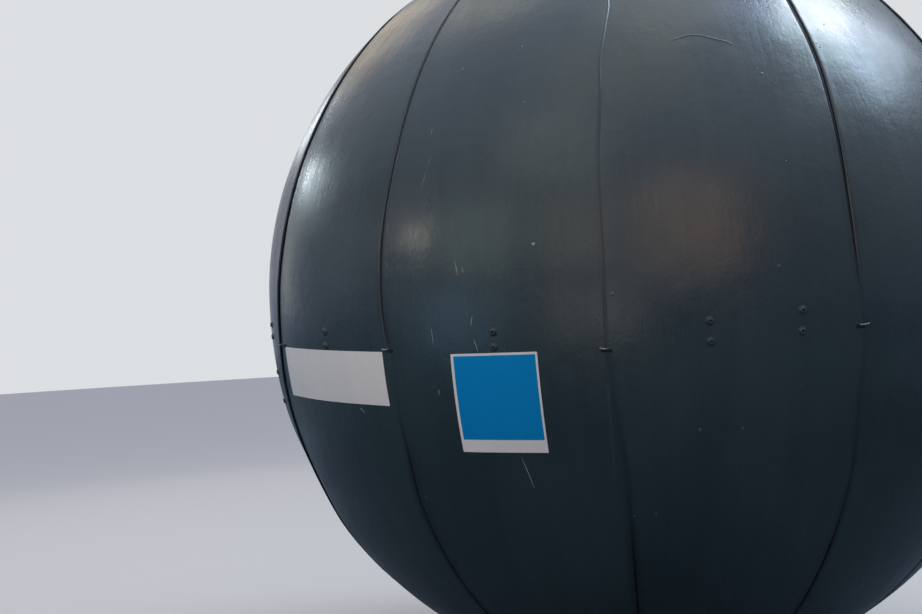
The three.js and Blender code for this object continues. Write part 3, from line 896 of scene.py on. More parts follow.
@dataclass(frozen=True)
class RubberFinish(FinishBase):
    """Aged sealant or rubber, which is painted over where the piece's attribute says so."""

    bare: Colour = (0.004, 0.007, 0.014)
    aged: Colour = (0.008, 0.013, 0.024)
    painted: Colour = (0.017, 0.032, 0.038)
    reads_paint: bool = False
    paint_coat: float = 0.45
    paint_roughness: float = 0.34
    shine: float = 0.25
    bump: float = 0.12 * MM

    def looks(self, sketch: NodeSketch, vector: NodeSocket, groups: EffectGroups) -> dict:
        """Sketch the finish."""
        patches = sketch.span(sketch.noise(vector, 40.0, 4.0, 0.6), 0.35, 0.7)
        colour = sketch.blend(patches, self.bare, self.aged)
        rough = sketch.span(patches, 0.0, 1.0, 0.55, 0.75, smooth=False)
        coat = {}
        if self.reads_paint:
            paint = sketch.attribute(PAINTED_ATTRIBUTE)
            colour = sketch.blend(paint, colour, self.painted)
            inputs = {0: paint, 2: rough, 3: self.paint_roughness}
            rough = sketch.add("Mix", inputs, data_type="FLOAT").outputs[0]
            coat = {"Coat Weight": sketch.times(paint, self.paint_coat), "Coat Roughness": 0.3}
        return coat | {
            "Base Color": colour,
            "Roughness": rough,
            "Specular IOR Level": self.shine,
            "Normal": sketch.relief(sketch.noise(vector, 420.0, 3.0, 0.6), self.bump),
        }


@dataclass(frozen=True)
class VinylFinish(FinishBase):
    """Printed sticker vinyl with fading, grime and shallow ripples."""

    fresh: Colour = (0.85, 0.79, 0.74)
    faded: Colour = (0.77, 0.71, 0.66)
    grime: Colour = (0.38, 0.34, 0.31)
    roughness: float = 0.38
    shine: float = 0.3
    bump: float = 0.12 * MM

    def looks(self, sketch: NodeSketch, vector: NodeSocket, groups: EffectGroups) -> dict:
        """Sketch the finish."""
        film = sketch.group(groups.paint_film, Vector=vector, Grain=self.grain)
        specks = sketch.group(groups.specks, Vector=vector, Scale=120.0)["Mask"]
        colour = sketch.blend(film["Tone"], self.fresh, self.faded)
        dirt = sketch.span(sketch.noise(vector, 55.0, 5.0, 0.7), 0.55, 0.85, 0.0, 0.35)
        colour = sketch.blend(dirt, colour, self.grime)
        return {
            "Base Color": sketch.blend(sketch.times(specks, 0.5), colour, self.grime),
            "Roughness": sketch.span(film["Gloss"], 0.0, 1.0, self.roughness - 0.08, self.roughness + 0.1),
            "Specular IOR Level": self.shine,
            "Normal": sketch.relief(sketch.noise(vector, 70.0, 2.0, 0.5), self.bump),
        }


@dataclass(frozen=True)
class GlassFinish(FinishBase):
    """Clear window pane with dust and wiped smears."""

    tint: Colour = (0.80, 0.88, 0.90)
    smear_colour: Colour = (0.7, 0.7, 0.68)
    smear_grain: tuple[float, float, float] = (0.03, 0.03, 0.01)

    def looks(self, sketch: NodeSketch, vector: NodeSocket, groups: EffectGroups) -> dict:
        """Sketch the finish."""
        smudge = sketch.group(groups.hairlines, Vector=vector, Grain=self.smear_grain)["Smudge"]
        return {
            "Base Color": sketch.blend(sketch.times(smudge, 0.25), self.tint, self.smear_colour),
            "Roughness": sketch.span(smudge, 0.0, 1.0, 0.03, 0.10, smooth=False),
            "Transmission Weight": 1.0,
            "IOR": 1.49,
        }


class FinishSet:
    """Every finish of the capsule, each built when a piece first asks for it."""

    HULL = PaintFinish(
        "hull_paint", Slot.HULL_PAINT, Mapping.SKIN, dark=(0.012, 0.025, 0.031), light=(0.021, 0.039, 0.045),
        smooth_roughness=0.21, dull_roughness=0.37, bump=0.45 * MM, dust=0.05, seam_shade=0.7, pits=1.1,
        coat=0.15,
    )
    LINER = PaintFinish(
        "liner_gelcoat", Slot.RIB_PRIMER, Mapping.SKIN, dark=(0.20, 0.21, 0.20), light=(0.30, 0.31, 0.29),
        smooth_roughness=0.50, dull_roughness=0.70, bump=0.25 * MM, dust=0.25,
    )
    FITTING = PaintFinish(
        "fitting_paint", Slot.HULL_PAINT, dark=(0.013, 0.025, 0.031), light=(0.024, 0.039, 0.046),
        smooth_roughness=0.30, dull_roughness=0.46, dust=0.12, edge_wear=0.45,
    )
    FRAME = PaintFinish(
        "frame_paint", Slot.FRAME_PAINT, dark=(0.014, 0.022, 0.029), light=(0.025, 0.036, 0.044),
        smooth_roughness=0.38, dull_roughness=0.55, bump=0.08 * MM, dust=0.18, edge_wear=0.7,
    )
    RIB = PaintFinish(
        "rib_primer", Slot.RIB_PRIMER, dark=(0.10, 0.11, 0.11), light=(0.16, 0.17, 0.165),
        smooth_roughness=0.55, dull_roughness=0.75, bump=0.10 * MM, dust=0.25, edge_wear=0.6,
    )
    STEEL = MetalFinish("ground_steel", Slot.STEEL)
    CLIP = MetalFinish(
        "clip_steel", Slot.STEEL, bright=(0.40, 0.39, 0.38), dull=(0.16, 0.16, 0.16), smooth_roughness=0.24,
        dull_roughness=0.40, dust=0.0,
    )
    DECK = TreadFinish(
        "deck_plate", Slot.DECK_PLATE, bright=(0.50, 0.51, 0.52), dull=(0.34, 0.35, 0.36),
        smooth_roughness=0.32, dull_roughness=0.5, dust=0.35,
    )
    GLASS = GlassFinish("pane_glass", Slot.PANE_GLASS)
    SEALANT = RubberFinish("seam_sealant", Slot.SEAM_SEALANT, reads_paint=True)
    RUBBER = RubberFinish("hatch_rubber", Slot.SEAM_SEALANT)
    WHITE_VINYL = VinylFinish("white_vinyl", Slot.STICKER_WHITE, Mapping.SKIN)
    BLUE_VINYL = VinylFinish(
        "blue_vinyl", Slot.STICKER_BLUE, Mapping.SKIN, fresh=(0.001, 0.222, 0.52), faded=(0.002, 0.242, 0.56),
        grime=(0.005, 0.17, 0.44), roughness=0.42, shine=0.08,
    )
    CHIP = VinylFinish(
        "bared_undercoat", Slot.STICKER_WHITE, fresh=(0.36, 0.37, 0.36), faded=(0.20, 0.22, 0.22),
        grime=(0.10, 0.11, 0.12), roughness=0.6,
    )

    def __init__(self) -> None:
        """Start with no material built."""
        self.groups = EffectGroups()
        self.built: dict[str, Material] = {}

    def material(self, finish: FinishBase) -> Material:
        """Return the material of a finish."""
        if finish.name not in self.built:
            self.built[finish.name] = finish.build(self.groups)
        return self.built[finish.name]


class Workshop:
    """Turns forms into pieces that ride on their bodies, and keeps what all sub-assemblies share."""

    def __init__(self) -> None:
        """Read the hull from the frame and lay out its seams."""
        self.hull = HullForm.from_frame()
        self.plan = SeamPlan(self.hull)
        self.finishes = FinishSet()

    def piece(
        self, name: str, form: BMesh, finish: FinishBase, replaces: Sequence[str] = (),
        body: Body = Body.HULL, inner: FinishBase | None = None, smooth_below: float = SMOOTH_BELOW,
    ) -> Object:
        """Make a form into a finished piece.

        Args:
            name: Name of the piece.
            form: Its shape, which is freed.
            finish: Finish of its faces.
            replaces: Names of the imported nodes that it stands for.
            body: Body that it rides on.
            inner: Finish of the faces that have material number 1.
            smooth_below: Angle up to which edges are shaded smooth.

        Returns:
            The new object.
        """
        mesh = as_mesh(name, form)
        form.free()
        mesh.shade_smooth()
        mesh.set_sharp_from_angle(angle=smooth_below)
        for one in (finish, inner):
            if one:
                mesh.materials.append(self.finishes.material(one))
        made = put(name, mesh)
        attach(made, body.value)
        if replaces:
            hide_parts(*replaces)
        log.info("%s: %d faces on %s", name, len(mesh.polygons), body.value)
        return made

    def map_skin(
        self, form: BMesh, middle_azimuth: float, shift: float = 0.0, by_seams: bool = False,
    ) -> None:
        """Give a form the skin's own metres as a UV map, and its distance from the seams.

        Args:
            form: Form on the hull.
            middle_azimuth: Azimuth where the map's first axis is 0.
            shift: Offset of the first axis, so that panels differ.
            by_seams: Whether the paint on this form is darkened along the seams, as painted shade.
        """
        hull = self.hull
        layer = form.loops.layers.uv.new(SKIN_UV)
        near = form.verts.layers.float.new(SEAM_ATTRIBUTE)
        places = {}
        for vertex in form.verts:
            azimuth, latitude = hull.angles_of(vertex.co)
            turn = turn_from(middle_azimuth, azimuth)
            places[vertex] = (hull.radius * math.cos(latitude) * turn + shift, hull.radius * latitude)
            vertex[near] = self.plan.distance(azimuth, latitude, 8.5 * MM) if by_seams else 1.0
        for face in form.faces:
            for loop in face.loops:
                loop[layer].uv = places[loop.vert]

    def cut_away(self, target: Object, tool_form: BMesh) -> None:
        """Cut a form out of a piece for good."""
        mesh = as_mesh("cutter", tool_form)
        tool_form.free()
        tool = put("cutter", mesh)
        modifier = target.modifiers.new("cut", "BOOLEAN")
        modifier.operation = "DIFFERENCE"
        modifier.solver = "EXACT"
        modifier.object = tool
        graph = bpy.context.evaluated_depsgraph_get()
        result = bpy.data.meshes.new_from_object(target.evaluated_get(graph), depsgraph=graph)
        target.modifiers.remove(modifier)
        old, target.data = target.data, result
        result.name = target.name
        result.set_sharp_from_angle(angle=SMOOTH_BELOW)
        bpy.data.meshes.remove(old)
        bpy.data.objects.remove(tool)
        bpy.data.meshes.remove(mesh)


@dataclass
class Assembly:
    """Part of the scene that is laid out by the hull."""

    shop: Workshop

    def __post_init__(self) -> None:
        """Take up the hull and the workshop's way to make a piece."""
        self.hull = self.shop.hull
        self.piece = self.shop.piece


@dataclass
class HullPanels(Assembly):
    """Twelve meridian panels, each a thin curved shell with rolled edges."""

    end_latitude: float = math.radians(78)
    rows: int = 108
    columns: int = 22
    edge_steps: tuple[float, ...] = (0.0, 0.6 * MM, 1.4 * MM, 2.6 * MM, 7.0 * MM, 9.5 * MM, 14 * MM)
    margin: float = 20 * MM
    lip_width: float = 2.2 * MM
    lip_drop: float = 1.2 * MM
    painted_drop: float = 0.12 * MM
    lap_width: float = 5.0 * MM
    lap_fade: float = 4.0 * MM
    lap_rise: float = 0.28 * MM
    hatch_cut_radius: float = 300.35 * MM
    cutter_depth: float = 300 * MM
    pattern_shift: float = 7.3

    def build(self) -> None:
        """Build the panels, and cut the hatch's opening out of the two at the back."""
        for index in range(self.hull.panel_count):
            name = f"gore_{index + 1:02d}"
            node = f"gore_panel_{index + 1:02d}"
            made = self.piece(name, self.panel_form(index), FinishSet.HULL, [node], inner=FinishSet.LINER)
            middle = (index + 0.5) * self.hull.panel_angle
            if abs(middle - math.pi) < self.hull.panel_angle:
                self.shop.cut_away(made, self.hatch_cutter())

    def column_anchors(self) -> list[tuple[float, float]]:
        """Return for each column its share of the panel's width and its inset from there."""
        left = [(0.0, step) for step in self.edge_steps]
        middle = [(share, self.margin * (1 - 2 * share)) for share in spread(0.0, 1.0, self.columns)]
        right = [(1.0, -step) for step in reversed(self.edge_steps)]
        return left + middle + right

    def panel_form(self, index: int) -> BMesh:
        """Return the shell of one panel."""
        hull = self.hull
        low_seam, high_seam = self.shop.plan.around(index)
        start = index * hull.panel_angle

        def place(column: tuple[float, float], latitude: float) -> Vector:
            anchor, inset = column
            reach = hull.radius * math.cos(latitude)
            left = low_seam.shift(latitude) + low_seam.gap_width(latitude) / 2
            right = hull.panel_angle * reach + high_seam.shift(latitude) - high_seam.gap_width(latitude) / 2
            across = lerp(left, right, anchor) + inset
            lift = self.edge_lift(across - left, low_seam.paint_share(latitude))
            lift += self.edge_lift(right - across, high_seam.paint_share(latitude))
            lap = 1 - smooth_step(self.lap_width, self.lap_width + self.lap_fade, across - left)
            lift += self.lap_rise * lap * (1 - low_seam.paint_share(latitude))
            return hull.point(start + across / reach, latitude, lift)

        rows = spread(-self.end_latitude, self.end_latitude, self.rows)
        form = thicken(curved_patch(self.column_anchors(), rows, place), hull.wall)
        for face in form.faces:
            outward = (face.calc_center_median() - hull.centre).normalized()
            face.material_index = 1 if face.normal.dot(outward) < -0.5 else 0
        self.shop.map_skin(form, start + hull.panel_angle / 2, index * self.pattern_shift, by_seams=True)
        return form

    def edge_lift(self, distance: float, paint: float) -> float:
        """Return how far the rolled edge drops at a distance, less where the joint is painted over."""
        share = max(0.0, 1 - distance / self.lip_width)
        return -lerp(self.lip_drop, self.painted_drop, paint) * share * share

    def hatch_cutter(self) -> BMesh:
        """Return a cylinder that runs through the wall at the back."""
        form = prism(self.hatch_cut_radius, self.cutter_depth, 160)
        reach = math.sqrt(self.hull.radius**2 - self.hatch_cut_radius**2)
        middle = Matrix.Translation(self.hull.centre + BACK * reach)
        return placed(form, middle @ Matrix.Rotation(math.pi / 2, 4, "X"))


@dataclass
class SeamBeads(Assembly):
    """Filler in each seam, sunk and bare in most places and painted over in some."""

    end_latitude: float = math.radians(78)
    rows: int = 150
    columns: int = 9
    lump: float = 0.25 * MM
    depth: float = 5.0 * MM
    sag: float = 1.0 * MM
    overlap: float = 0.5 * MM

    def build(self) -> None:
        """Build one bead for each seam, in two lengths at the hatch."""
        for seam in self.shop.plan.seams:
            name = f"seam_bead_{seam.number:02d}"
            if seam.at_hatch:
                gap = math.asin(HullPanels.hatch_cut_radius / self.hull.radius) + 0.3 * MM
                self.bead(f"{name}_upper", seam, gap, self.end_latitude)
                self.bead(f"{name}_lower", seam, -self.end_latitude, -gap)
            else:
                self.bead(name, seam, -self.end_latitude, self.end_latitude)

    def bead(self, name: str, seam: Seam, low: float, high: float) -> None:
        """Build one stretch of filler between two latitudes."""
        hull = self.hull

        def place(across: float, latitude: float) -> Vector:
            paint = seam.paint_share(latitude)
            half = seam.gap_width(latitude) / 2 + self.overlap * paint
            azimuth = seam.azimuth_at(hull, latitude)
            lumps = noise.noise(hull.direction(azimuth, latitude) * 60 + Vector((seam.number, 0, 0)))
            height = seam.bead_height(latitude) + lerp(self.lump, 0.4 * self.lump, paint) * lumps
            crown = max(0.0, 1 - across * across) ** lerp(0.5, 1.4, paint)
            edge = lerp(height - self.sag, -1.5 * HullPanels.painted_drop, paint)
            lift = lerp(edge, height, crown)
            azimuth, latitude = hull.moved(azimuth, latitude, across * half, 0.0)
            return hull.point(azimuth, latitude, lift)

        form = curved_patch(spread(-1.0, 1.0, self.columns), spread(low, high, self.rows), place)
        thicken(form, self.depth)
        painted = form.verts.layers.float.new(PAINTED_ATTRIBUTE)
        for vertex in form.verts:
            vertex[painted] = seam.paint_share(hull.angles_of(vertex.co)[1])
        self.piece(name, form, FinishSet.SEALANT, smooth_below=SMOOTH_SMALL_BELOW)


@dataclass(frozen=True)
class ClipLook:
    """How the wire of one clip was bent, and how far the dark sealant patch round it reaches, which is also
    painted shadow under the wire.

    Lengths are millimetres from the seam's middle, east positive. The turn is in degrees. The crest is where
    the wire stands highest, from -1 at its west end to 1 at its east end.
    """

    west: float = -8.0
    east: float = 8.0
    sag: float = 1.6
    turn: float = 0.0
    crest: float = 0.0
    shadow_smear_west: float = -8.0
    shadow_smear_east: float = 9.0


@dataclass
class SeamRibs(Assembly):
    """Ribs behind the seams, and the staple-shaped clip over each seam."""

    LOOKS = {
        1: ClipLook(west=-10.0, east=2.5, sag=0.4, turn=-8.0, crest=-0.1, shadow_smear_west=-9.0, shadow_smear_east=7.0),
        2: ClipLook(west=-3.0, east=8.5, sag=0.5, turn=5.0, crest=0.9, shadow_smear_west=-11.0, shadow_smear_east=4.0),
        11: ClipLook(west=-9.0, east=9.0, sag=1.0, shadow_smear_west=-12.0, shadow_smear_east=36.0),
        12: ClipLook(west=-11.0, east=-1.5, sag=0.7, turn=-4.0, crest=-0.4, shadow_smear_west=-3.0, shadow_smear_east=9.0),
    }

    width: float = 30 * MM
    outer_depth: float = 11.3 * MM
    inner_depth: float = 40 * MM
    rounding: float = 3 * MM
    end_latitude: float = math.radians(78)
    hatch_latitude: float = math.radians(24)
    steps: int = 72
    hatch_half_height: float = 300.35 * MM
    # The dark patch under each clip: a smear of sealant that is also painted shadow under the wire.
    shadow_smear_width: float = 5.6 * MM
    shadow_smear_thickness: float = 2.2 * MM
    shadow_smear_drop: float = 2.4 * MM
    shadow_smear_proud: float = 0.7 * MM
    clip_wire: float = 2.6 * MM
    clip_rise: float = 2.3 * MM
    clip_seat: float = 0.2 * MM
    clip_leg: float = 9 * MM
    proud_of_hull: float = 2.5 * MM

    def build(self) -> None:
        """Build the ribs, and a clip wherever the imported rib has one."""
        for seam in self.shop.plan.seams:
            number = f"{seam.number:02d}"
            node = f"seam_rib_{number}"
            if seam.at_hatch:
                for end, side in (("upper", 1), ("lower", -1)):
                    form = self.short_rib(seam.azimuth, side)
                    self.piece(f"rib_{number}_{end}", form, FinishSet.RIB, [f"{node}_{end}"])
                continue
            form = self.rib_form(seam.azimuth, -self.end_latitude, self.end_latitude)
            self.piece(f"rib_{number}", form, FinishSet.RIB, [node])
            clip = self.clip_form(seam, self.clip_latitude(node))
            self.piece(f"seam_clip_{number}", clip, FinishSet.CLIP, [node], inner=FinishSet.RUBBER)

    def rib_form(self, azimuth: float, low: float, high: float) -> BMesh:
        """Return a rib between two latitudes."""
        centre = self.hull.centre
        inner, outer = self.hull.radius - self.inner_depth, self.hull.radius - self.outer_depth
        along = self.hull.direction(0.0, low)
        side = Vector((self.width / 2, 0.0, 0.0))
        corners = [along * inner - side, along * inner + side, along * outer + side, along * outer - side]
        form = outline_face(centre + corner for corner in corners)
        round_corners(form, form.verts, self.rounding)
        bmesh.ops.spin(
            form, geom=form.faces[:] + form.edges[:] + form.verts[:], cent=centre, axis=(-1, 0, 0),
            angle=high - low, steps=self.steps,
        )
        return placed(close(form), Matrix.Rotation(azimuth, 4, "Z"))

    def short_rib(self, azimuth: float, side: int) -> BMesh:
        """Return the rib's length above (side 1) or below (side -1) the hatch."""
        form = self.rib_form(azimuth, *sorted((side * self.hatch_latitude, side * self.end_latitude)))
        made = bmesh.ops.bisect_plane(
            form, geom=form.verts[:] + form.edges[:] + form.faces[:], clear_outer=True,
            plane_co=self.hull.centre + UP * side * self.hatch_half_height, plane_no=UP * -side,
        )
        rim = [item for item in made["geom_cut"] if isinstance(item, BMEdge)]
        bmesh.ops.edgeloop_fill(form, edges=rim)
        return close(form)

    def clip_latitude(self, node: str) -> float:
        """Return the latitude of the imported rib's clip, which is all of it that stands proud."""
        hull = self.hull
        points = [vertex.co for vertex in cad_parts[node].data.vertices]
        proud = [point for point in points if (point - hull.centre).length > hull.radius + self.proud_of_hull]
        return hull.angles_of(sum(proud, Vector()) / len(proud))[1]

    def clip_form(self, seam: Seam, latitude: float) -> BMesh:
        """Return a wire staple that sags and bows between its legs, over a dark patch of sealant that is also
        its painted shadow.
        """
        look = self.LOOKS.get(seam.number, ClipLook(turn=5.0 * math.sin(seam.number * 2.4)))
        wire, leg = self.clip_wire, self.clip_leg
        reach = (look.east - look.west) / 2 * MM
        bow = bar((2 * reach + wire, wire, wire), cuts=13)
        for vertex in bow.verts:
            share = vertex.co.x / reach
            fall = min(1.0, ((share - look.crest) / (1 + abs(look.crest))) ** 2)
            vertex.co.yz *= lerp(1.15, 0.75, fall)
            vertex.co.y += look.sag * MM * (share * share - 0.5)
            vertex.co.z += self.clip_rise * (1 - fall)
        round_edges(bow, wire * 0.36, 3, 0.8)
        legs = round_edges(bar((wire * 0.9, wire * 0.9, leg)), wire * 0.3)
        foot = look.sag * MM / 2
        legs = repeated(legs, [Matrix.Translation((side * reach, foot, -leg / 2)) for side in (-1, 1)])
        middle = Matrix.Translation(((look.east + look.west) / 2 * MM, 0.0, self.clip_seat))
        staple = placed(joined([bow, legs]), middle @ Matrix.Rotation(math.radians(look.turn), 4, "Z"))
        # Dark sealant patch under the wire, partly a real smear and partly painted shadow.
        size = ((look.shadow_smear_east - look.shadow_smear_west) * MM, self.shadow_smear_width, self.shadow_smear_thickness)
        shadow_smear = round_edges(bar(size), self.shadow_smear_proud)
        height = self.shadow_smear_proud - self.shadow_smear_thickness / 2
        centre = Matrix.Translation(((look.shadow_smear_east + look.shadow_smear_west) / 2 * MM, -self.shadow_smear_drop, height))
        placed(shadow_smear, centre @ Matrix.Rotation(math.radians(look.turn * 0.6), 4, "Z"))
        for face in shadow_smear.faces:
            face.material_index = 1
        return placed(joined([staple, shadow_smear]), self.hull.seat(seam.azimuth_at(self.hull, latitude), latitude))


@dataclass
class HullBolts(Assembly):
    """Round-headed bolts with washers, in pairs, that hold the panels to what is behind them.

    in_view holds azimuth and latitude in degrees. The panels that it leaves out get the usual pair.
    """

    in_view: tuple[tuple[float, float], ...] = (
        (-42.2, -2.25), (-42.3, -4.1), (-14.0, -3.15), (-14.1, -4.95), (11.25, -3.1), (11.3, -5.45),
        (22.2, -2.4), (22.1, -4.8), (-67.0, -0.9), (-67.0, -2.7), (-67.0, -8.0), (-67.0, -12.4),
    )
    usual_turn: float = math.radians(16.5)
    usual_latitudes: tuple[float, float] = (math.radians(-2.8), math.radians(-4.8))
    off_hatch: float = math.radians(28)
    first_hidden_panel: int = 3
    last_hidden_panel: int = 9
    head_profile: Table = (
        (0.0, 0.5), (1.8, 0.5), (2.0, 2.7), (2.5, 3.0), (3.4, 2.8), (4.3, 2.0), (4.8, 1.1), (4.9, 0.7),
        (6.4, 0.6), (6.7, 0.3), (6.7, -1.0), (0.0, -1.0),
    )

    def build(self) -> None:
        """Build all bolts as one piece."""
        places = [(math.radians(azimuth), math.radians(latitude)) for azimuth, latitude in self.in_view]
        for panel in range(self.first_hidden_panel - 1, self.last_hidden_panel):
            azimuth = panel * self.hull.panel_angle + self.usual_turn
            if abs(azimuth - math.pi) > self.off_hatch:
                places += [(azimuth, latitude) for latitude in self.usual_latitudes]
        head = turned(in_metres(self.head_profile), 20)
        form = repeated(head, [self.hull.seat(*place) for place in places])
        self.piece("hull_bolts", form, FinishSet.FITTING, smooth_below=SMOOTH_SMALL_BELOW)


@dataclass
class Stickers(Assembly):
    """Two blank vinyl stickers that follow the hull.

    Corners are azimuth and latitude in degrees: lower left, lower right, upper right, upper left. Borders
    and band are shares of the square sticker's size.
    """

    long_corners: tuple[tuple[float, float], ...] = (
        (-57.23, -11.08), (-30.73, -11.95), (-30.63, -5.05), (-57.06, -4.16),
    )
    square_corners: tuple[tuple[float, float], ...] = (
        (-20.35, -17.85), (-8.70, -18.00), (-8.77, -5.66), (-20.00, -5.58),
    )
    film: float = 0.35 * MM
    print_film: float = 0.12 * MM
    corner: float = 0.9 * MM
    left_border: float = 0.033
    border: float = 0.023
    foot_band: float = 0.132

    def build(self) -> None:
        """Build the long white sticker, and the square one with its blue field."""
        whole = ((0.0, 0.0), (1.0, 1.0))
        field = ((self.left_border, self.foot_band), (1 - self.border, 1 - self.border))
        long = self.patch(self.long_corners, whole, 56, 16, self.film)
        self.piece("sticker_long", long, FinishSet.WHITE_VINYL)
        square = self.patch(self.square_corners, whole, 28, 30, self.film)
        self.piece("sticker_square", square, FinishSet.WHITE_VINYL)
        print_form = self.patch(self.square_corners, field, 28, 30, self.print_film, self.film)
        self.piece("sticker_square_field", print_form, FinishSet.BLUE_VINYL)

    def patch(
        self, corners: Sequence[tuple[float, float]], area: tuple, columns: int, rows: int,
        thickness: float, under: float = 0.0,
    ) -> BMesh:
        """Return a film on the hull.

        Args:
            corners: Corners of the whole sticker.
            area: Lowest and highest share of its width and height that the film covers.
            columns: Number of columns of vertices.
            rows: Number of rows of vertices.
            thickness: Thickness of the film.
            under: Height of what the film lies on.

        Returns:
            The closed film.
        """
        hull = self.hull
        (left, bottom), (right, top) = area
        low_left, low_right, high_right, high_left = (Vector(corner) for corner in corners)

        def place(across: float, up: float) -> Vector:
            low = low_left.lerp(low_right, across)
            high = high_left.lerp(high_right, across)
            azimuth, latitude = low.lerp(high, up)
            return hull.point(math.radians(azimuth), math.radians(latitude), under + thickness)

        form = curved_patch(spread(left, right, columns), spread(bottom, top, rows), place)
        corner_vertices = [vertex for vertex in form.verts if len(vertex.link_edges) == 2]
        round_corners(form, corner_vertices, self.corner, 4)
        thicken(form, thickness + SUNK)
        middle = (low_left + high_right) / 2
        self.shop.map_skin(form, math.radians(middle.x), left)
        return form


@dataclass
class PaintMarks(Assembly):
    """Scratches, chips, lumps and creases in the hull's paint. Places are azimuth and latitude in degrees.

    A scratch ends with its width in millimetres, and a chip with its size. A lump also has its length and
    width in millimetres and its turn in degrees. A crease starts with its height in millimetres.
    """

    scratches: tuple[tuple[float, float, float, float, float], ...] = (
        (-18.8, 5.65, -18.3, 3.7, 1.0), (-17.7, 4.7, -17.6, 4.0, 1.0), (-16.6, -1.1, -16.9, -2.4, 1.0),
        (-22.4, -2.3, -22.3, -4.2, 1.0), (-16.6, -3.9, -16.2, -5.4, 1.0), (-12.4, -18.4, -11.35, -22.8, 1.0),
        (-22.4, -9.8, -22.3, -10.55, 1.0), (-24.0, 23.1, -23.9, 22.1, 0.6), (-23.45, 18.9, -23.6, 17.8, 0.4),
        (-23.7, 17.5, -24.25, 14.7, 0.4), (-36.65, -12.25, -36.05, -12.95, 3.2),
    )
    chips: tuple[tuple[float, float, float], ...] = ((-8.6, 6.9, 4.6), (-12.0, 33.9, 2.0))
    lumps: tuple[tuple[float, float, float, float, float], ...] = (
        (21.54, 26.9, 5.2, 3.0, -60), (20.9, 27.7, 5.0, 1.8, -20), (22.4, 30.3, 4.4, 2.2, -10),
        (22.0, 30.5, 2.6, 2.2, 0), (18.3, 31.5, 5.5, 2.4, -35), (17.8, 32.0, 3.0, 2.0, 20),
        (35.2, 35.1, 4.6, 2.4, 30), (33.5, 34.1, 4.0, 1.8, 50), (31.9, 31.7, 5.2, 1.8, 0),
        (32.1, 31.0, 4.0, 2.0, -10), (33.5, 28.7, 3.0, 2.2, 0), (34.9, 29.0, 2.6, 2.2, 0),
        (33.8, 30.3, 2.2, 2.0, 0), (23.0, 25.4, 3.6, 1.8, -30), (18.2, 20.2, 2.6, 1.8, 0),
    )
    creases: tuple[tuple[float, tuple[tuple[float, float], ...]], ...] = (
        (0.7, ((9.8, 32.5), (13.2, 33.2), (16.9, 32.2), (18.5, 31.6))),
        (0.3, ((-0.76, -9.5), (-0.70, -13.5), (-0.68, -17.5), (-0.74, -22.0))),
    )
    hidden_azimuths: tuple[float, float] = (40.0, 285.0)
    hidden_scratches: int = 34
    hidden_chips: int = 26
    hidden_lumps: int = 30
    off_hatch: float = 30.0
    off_seams: float = 25 * MM
    waver: float = 0.6 * MM
    film: float = 0.06 * MM
    crease_width: float = 5 * MM
    crease_depth: float = 0.5 * MM
    crease_sunk: float = 0.05 * MM
    lump_steepness: float = 0.11
    lump_unevenness: float = 0.5
    chip_unevenness: float = 0.45

    def build(self) -> None:
        """Build the scratches and chips as one piece, and the lumps and creases as another."""
        hidden_scratches, hidden_chips, hidden_lumps = self.hidden_marks()
        forms = [self.scratch(*ends) for ends in (*self.scratches, *hidden_scratches)]
        forms += [self.chip(*place) for place in (*self.chips, *hidden_chips)]
        self.piece("paint_marks", joined(forms), FinishSet.CHIP)
        forms = [self.lump(*place) for place in (*self.lumps, *hidden_lumps)]
        forms += [self.crease_form(height, points) for height, points in self.creases]
        raised = joined(forms)
        self.shop.map_skin(raised, 0.0)
        self.piece("paint_lumps", raised, FinishSet.HULL)

    def hidden_marks(self, seed: int = 5) -> tuple[list, list, list]:
        """Return scratches, chips and lumps like those in view for the sides that the photograph hides."""
        chance = random.Random(seed)

        def place() -> tuple[float, float]:
            while True:
                azimuth, latitude = chance.uniform(*self.hidden_azimuths), chance.triangular(-40, 50, -5)
                off_hatch = math.hypot(azimuth - 180, latitude) > self.off_hatch
                from_seams = self.shop.plan.distance(math.radians(azimuth), math.radians(latitude))
                if off_hatch and from_seams > self.off_seams:
                    return azimuth, latitude

        scratches = []
        for _ in range(self.hidden_scratches):
            azimuth, latitude = place()
            length, lean = chance.uniform(0.6, 3.6), chance.uniform(-0.5, 0.5)
            width = chance.uniform(0.5, 1.0)
            scratches.append((azimuth, latitude, azimuth + lean * length, latitude - length, width))
        chips = [(*place(), chance.uniform(1.2, 4.2)) for _ in range(self.hidden_chips)]
        lumps = [
            (*place(), chance.uniform(2.5, 5.5), chance.uniform(1.8, 3.0), chance.uniform(-60, 60))
            for _ in range(self.hidden_lumps)
        ]
        return scratches, chips, lumps

    def scratch(
        self, azimuth: float, latitude: float, end_azimuth: float, end_latitude: float, width: float,
    ) -> BMesh:
        """Return a thin tapered line between two points."""
        hull = self.hull

        def place(across: float, along: float) -> Vector:
            at = (
                math.radians(lerp(azimuth, end_azimuth, along)),
                math.radians(lerp(latitude, end_latitude, along)),
            )
            taper = math.sqrt(max(0.0, math.sin(math.pi * along)))
            waver = self.waver * noise.noise(Vector((azimuth, latitude, along * 3)))
            return hull.point(*hull.moved(*at, across * width * MM / 2 * taper + waver, 0.0), self.film)

        form = curved_patch((-1.0, 0.0, 1.0), spread(0.02, 0.98, 16), place)
        return thicken(form, self.film + SUNK)

    def chip(self, azimuth: float, latitude: float, size: float) -> BMesh:
        """Return a small irregular spot."""
        form = bmesh.new()
        bmesh.ops.create_circle(form, cap_ends=True, radius=size * MM / 2, segments=12)
        for vertex in form.verts:
            swell = noise.noise(vertex.co * 900 + Vector((azimuth, latitude, 0)))
            vertex.co *= 1 + self.chip_unevenness * swell
        form.normal_update()
        placed(form, self.hull.seat(math.radians(azimuth), math.radians(latitude), self.film))
        return thicken(form, self.film + SUNK)

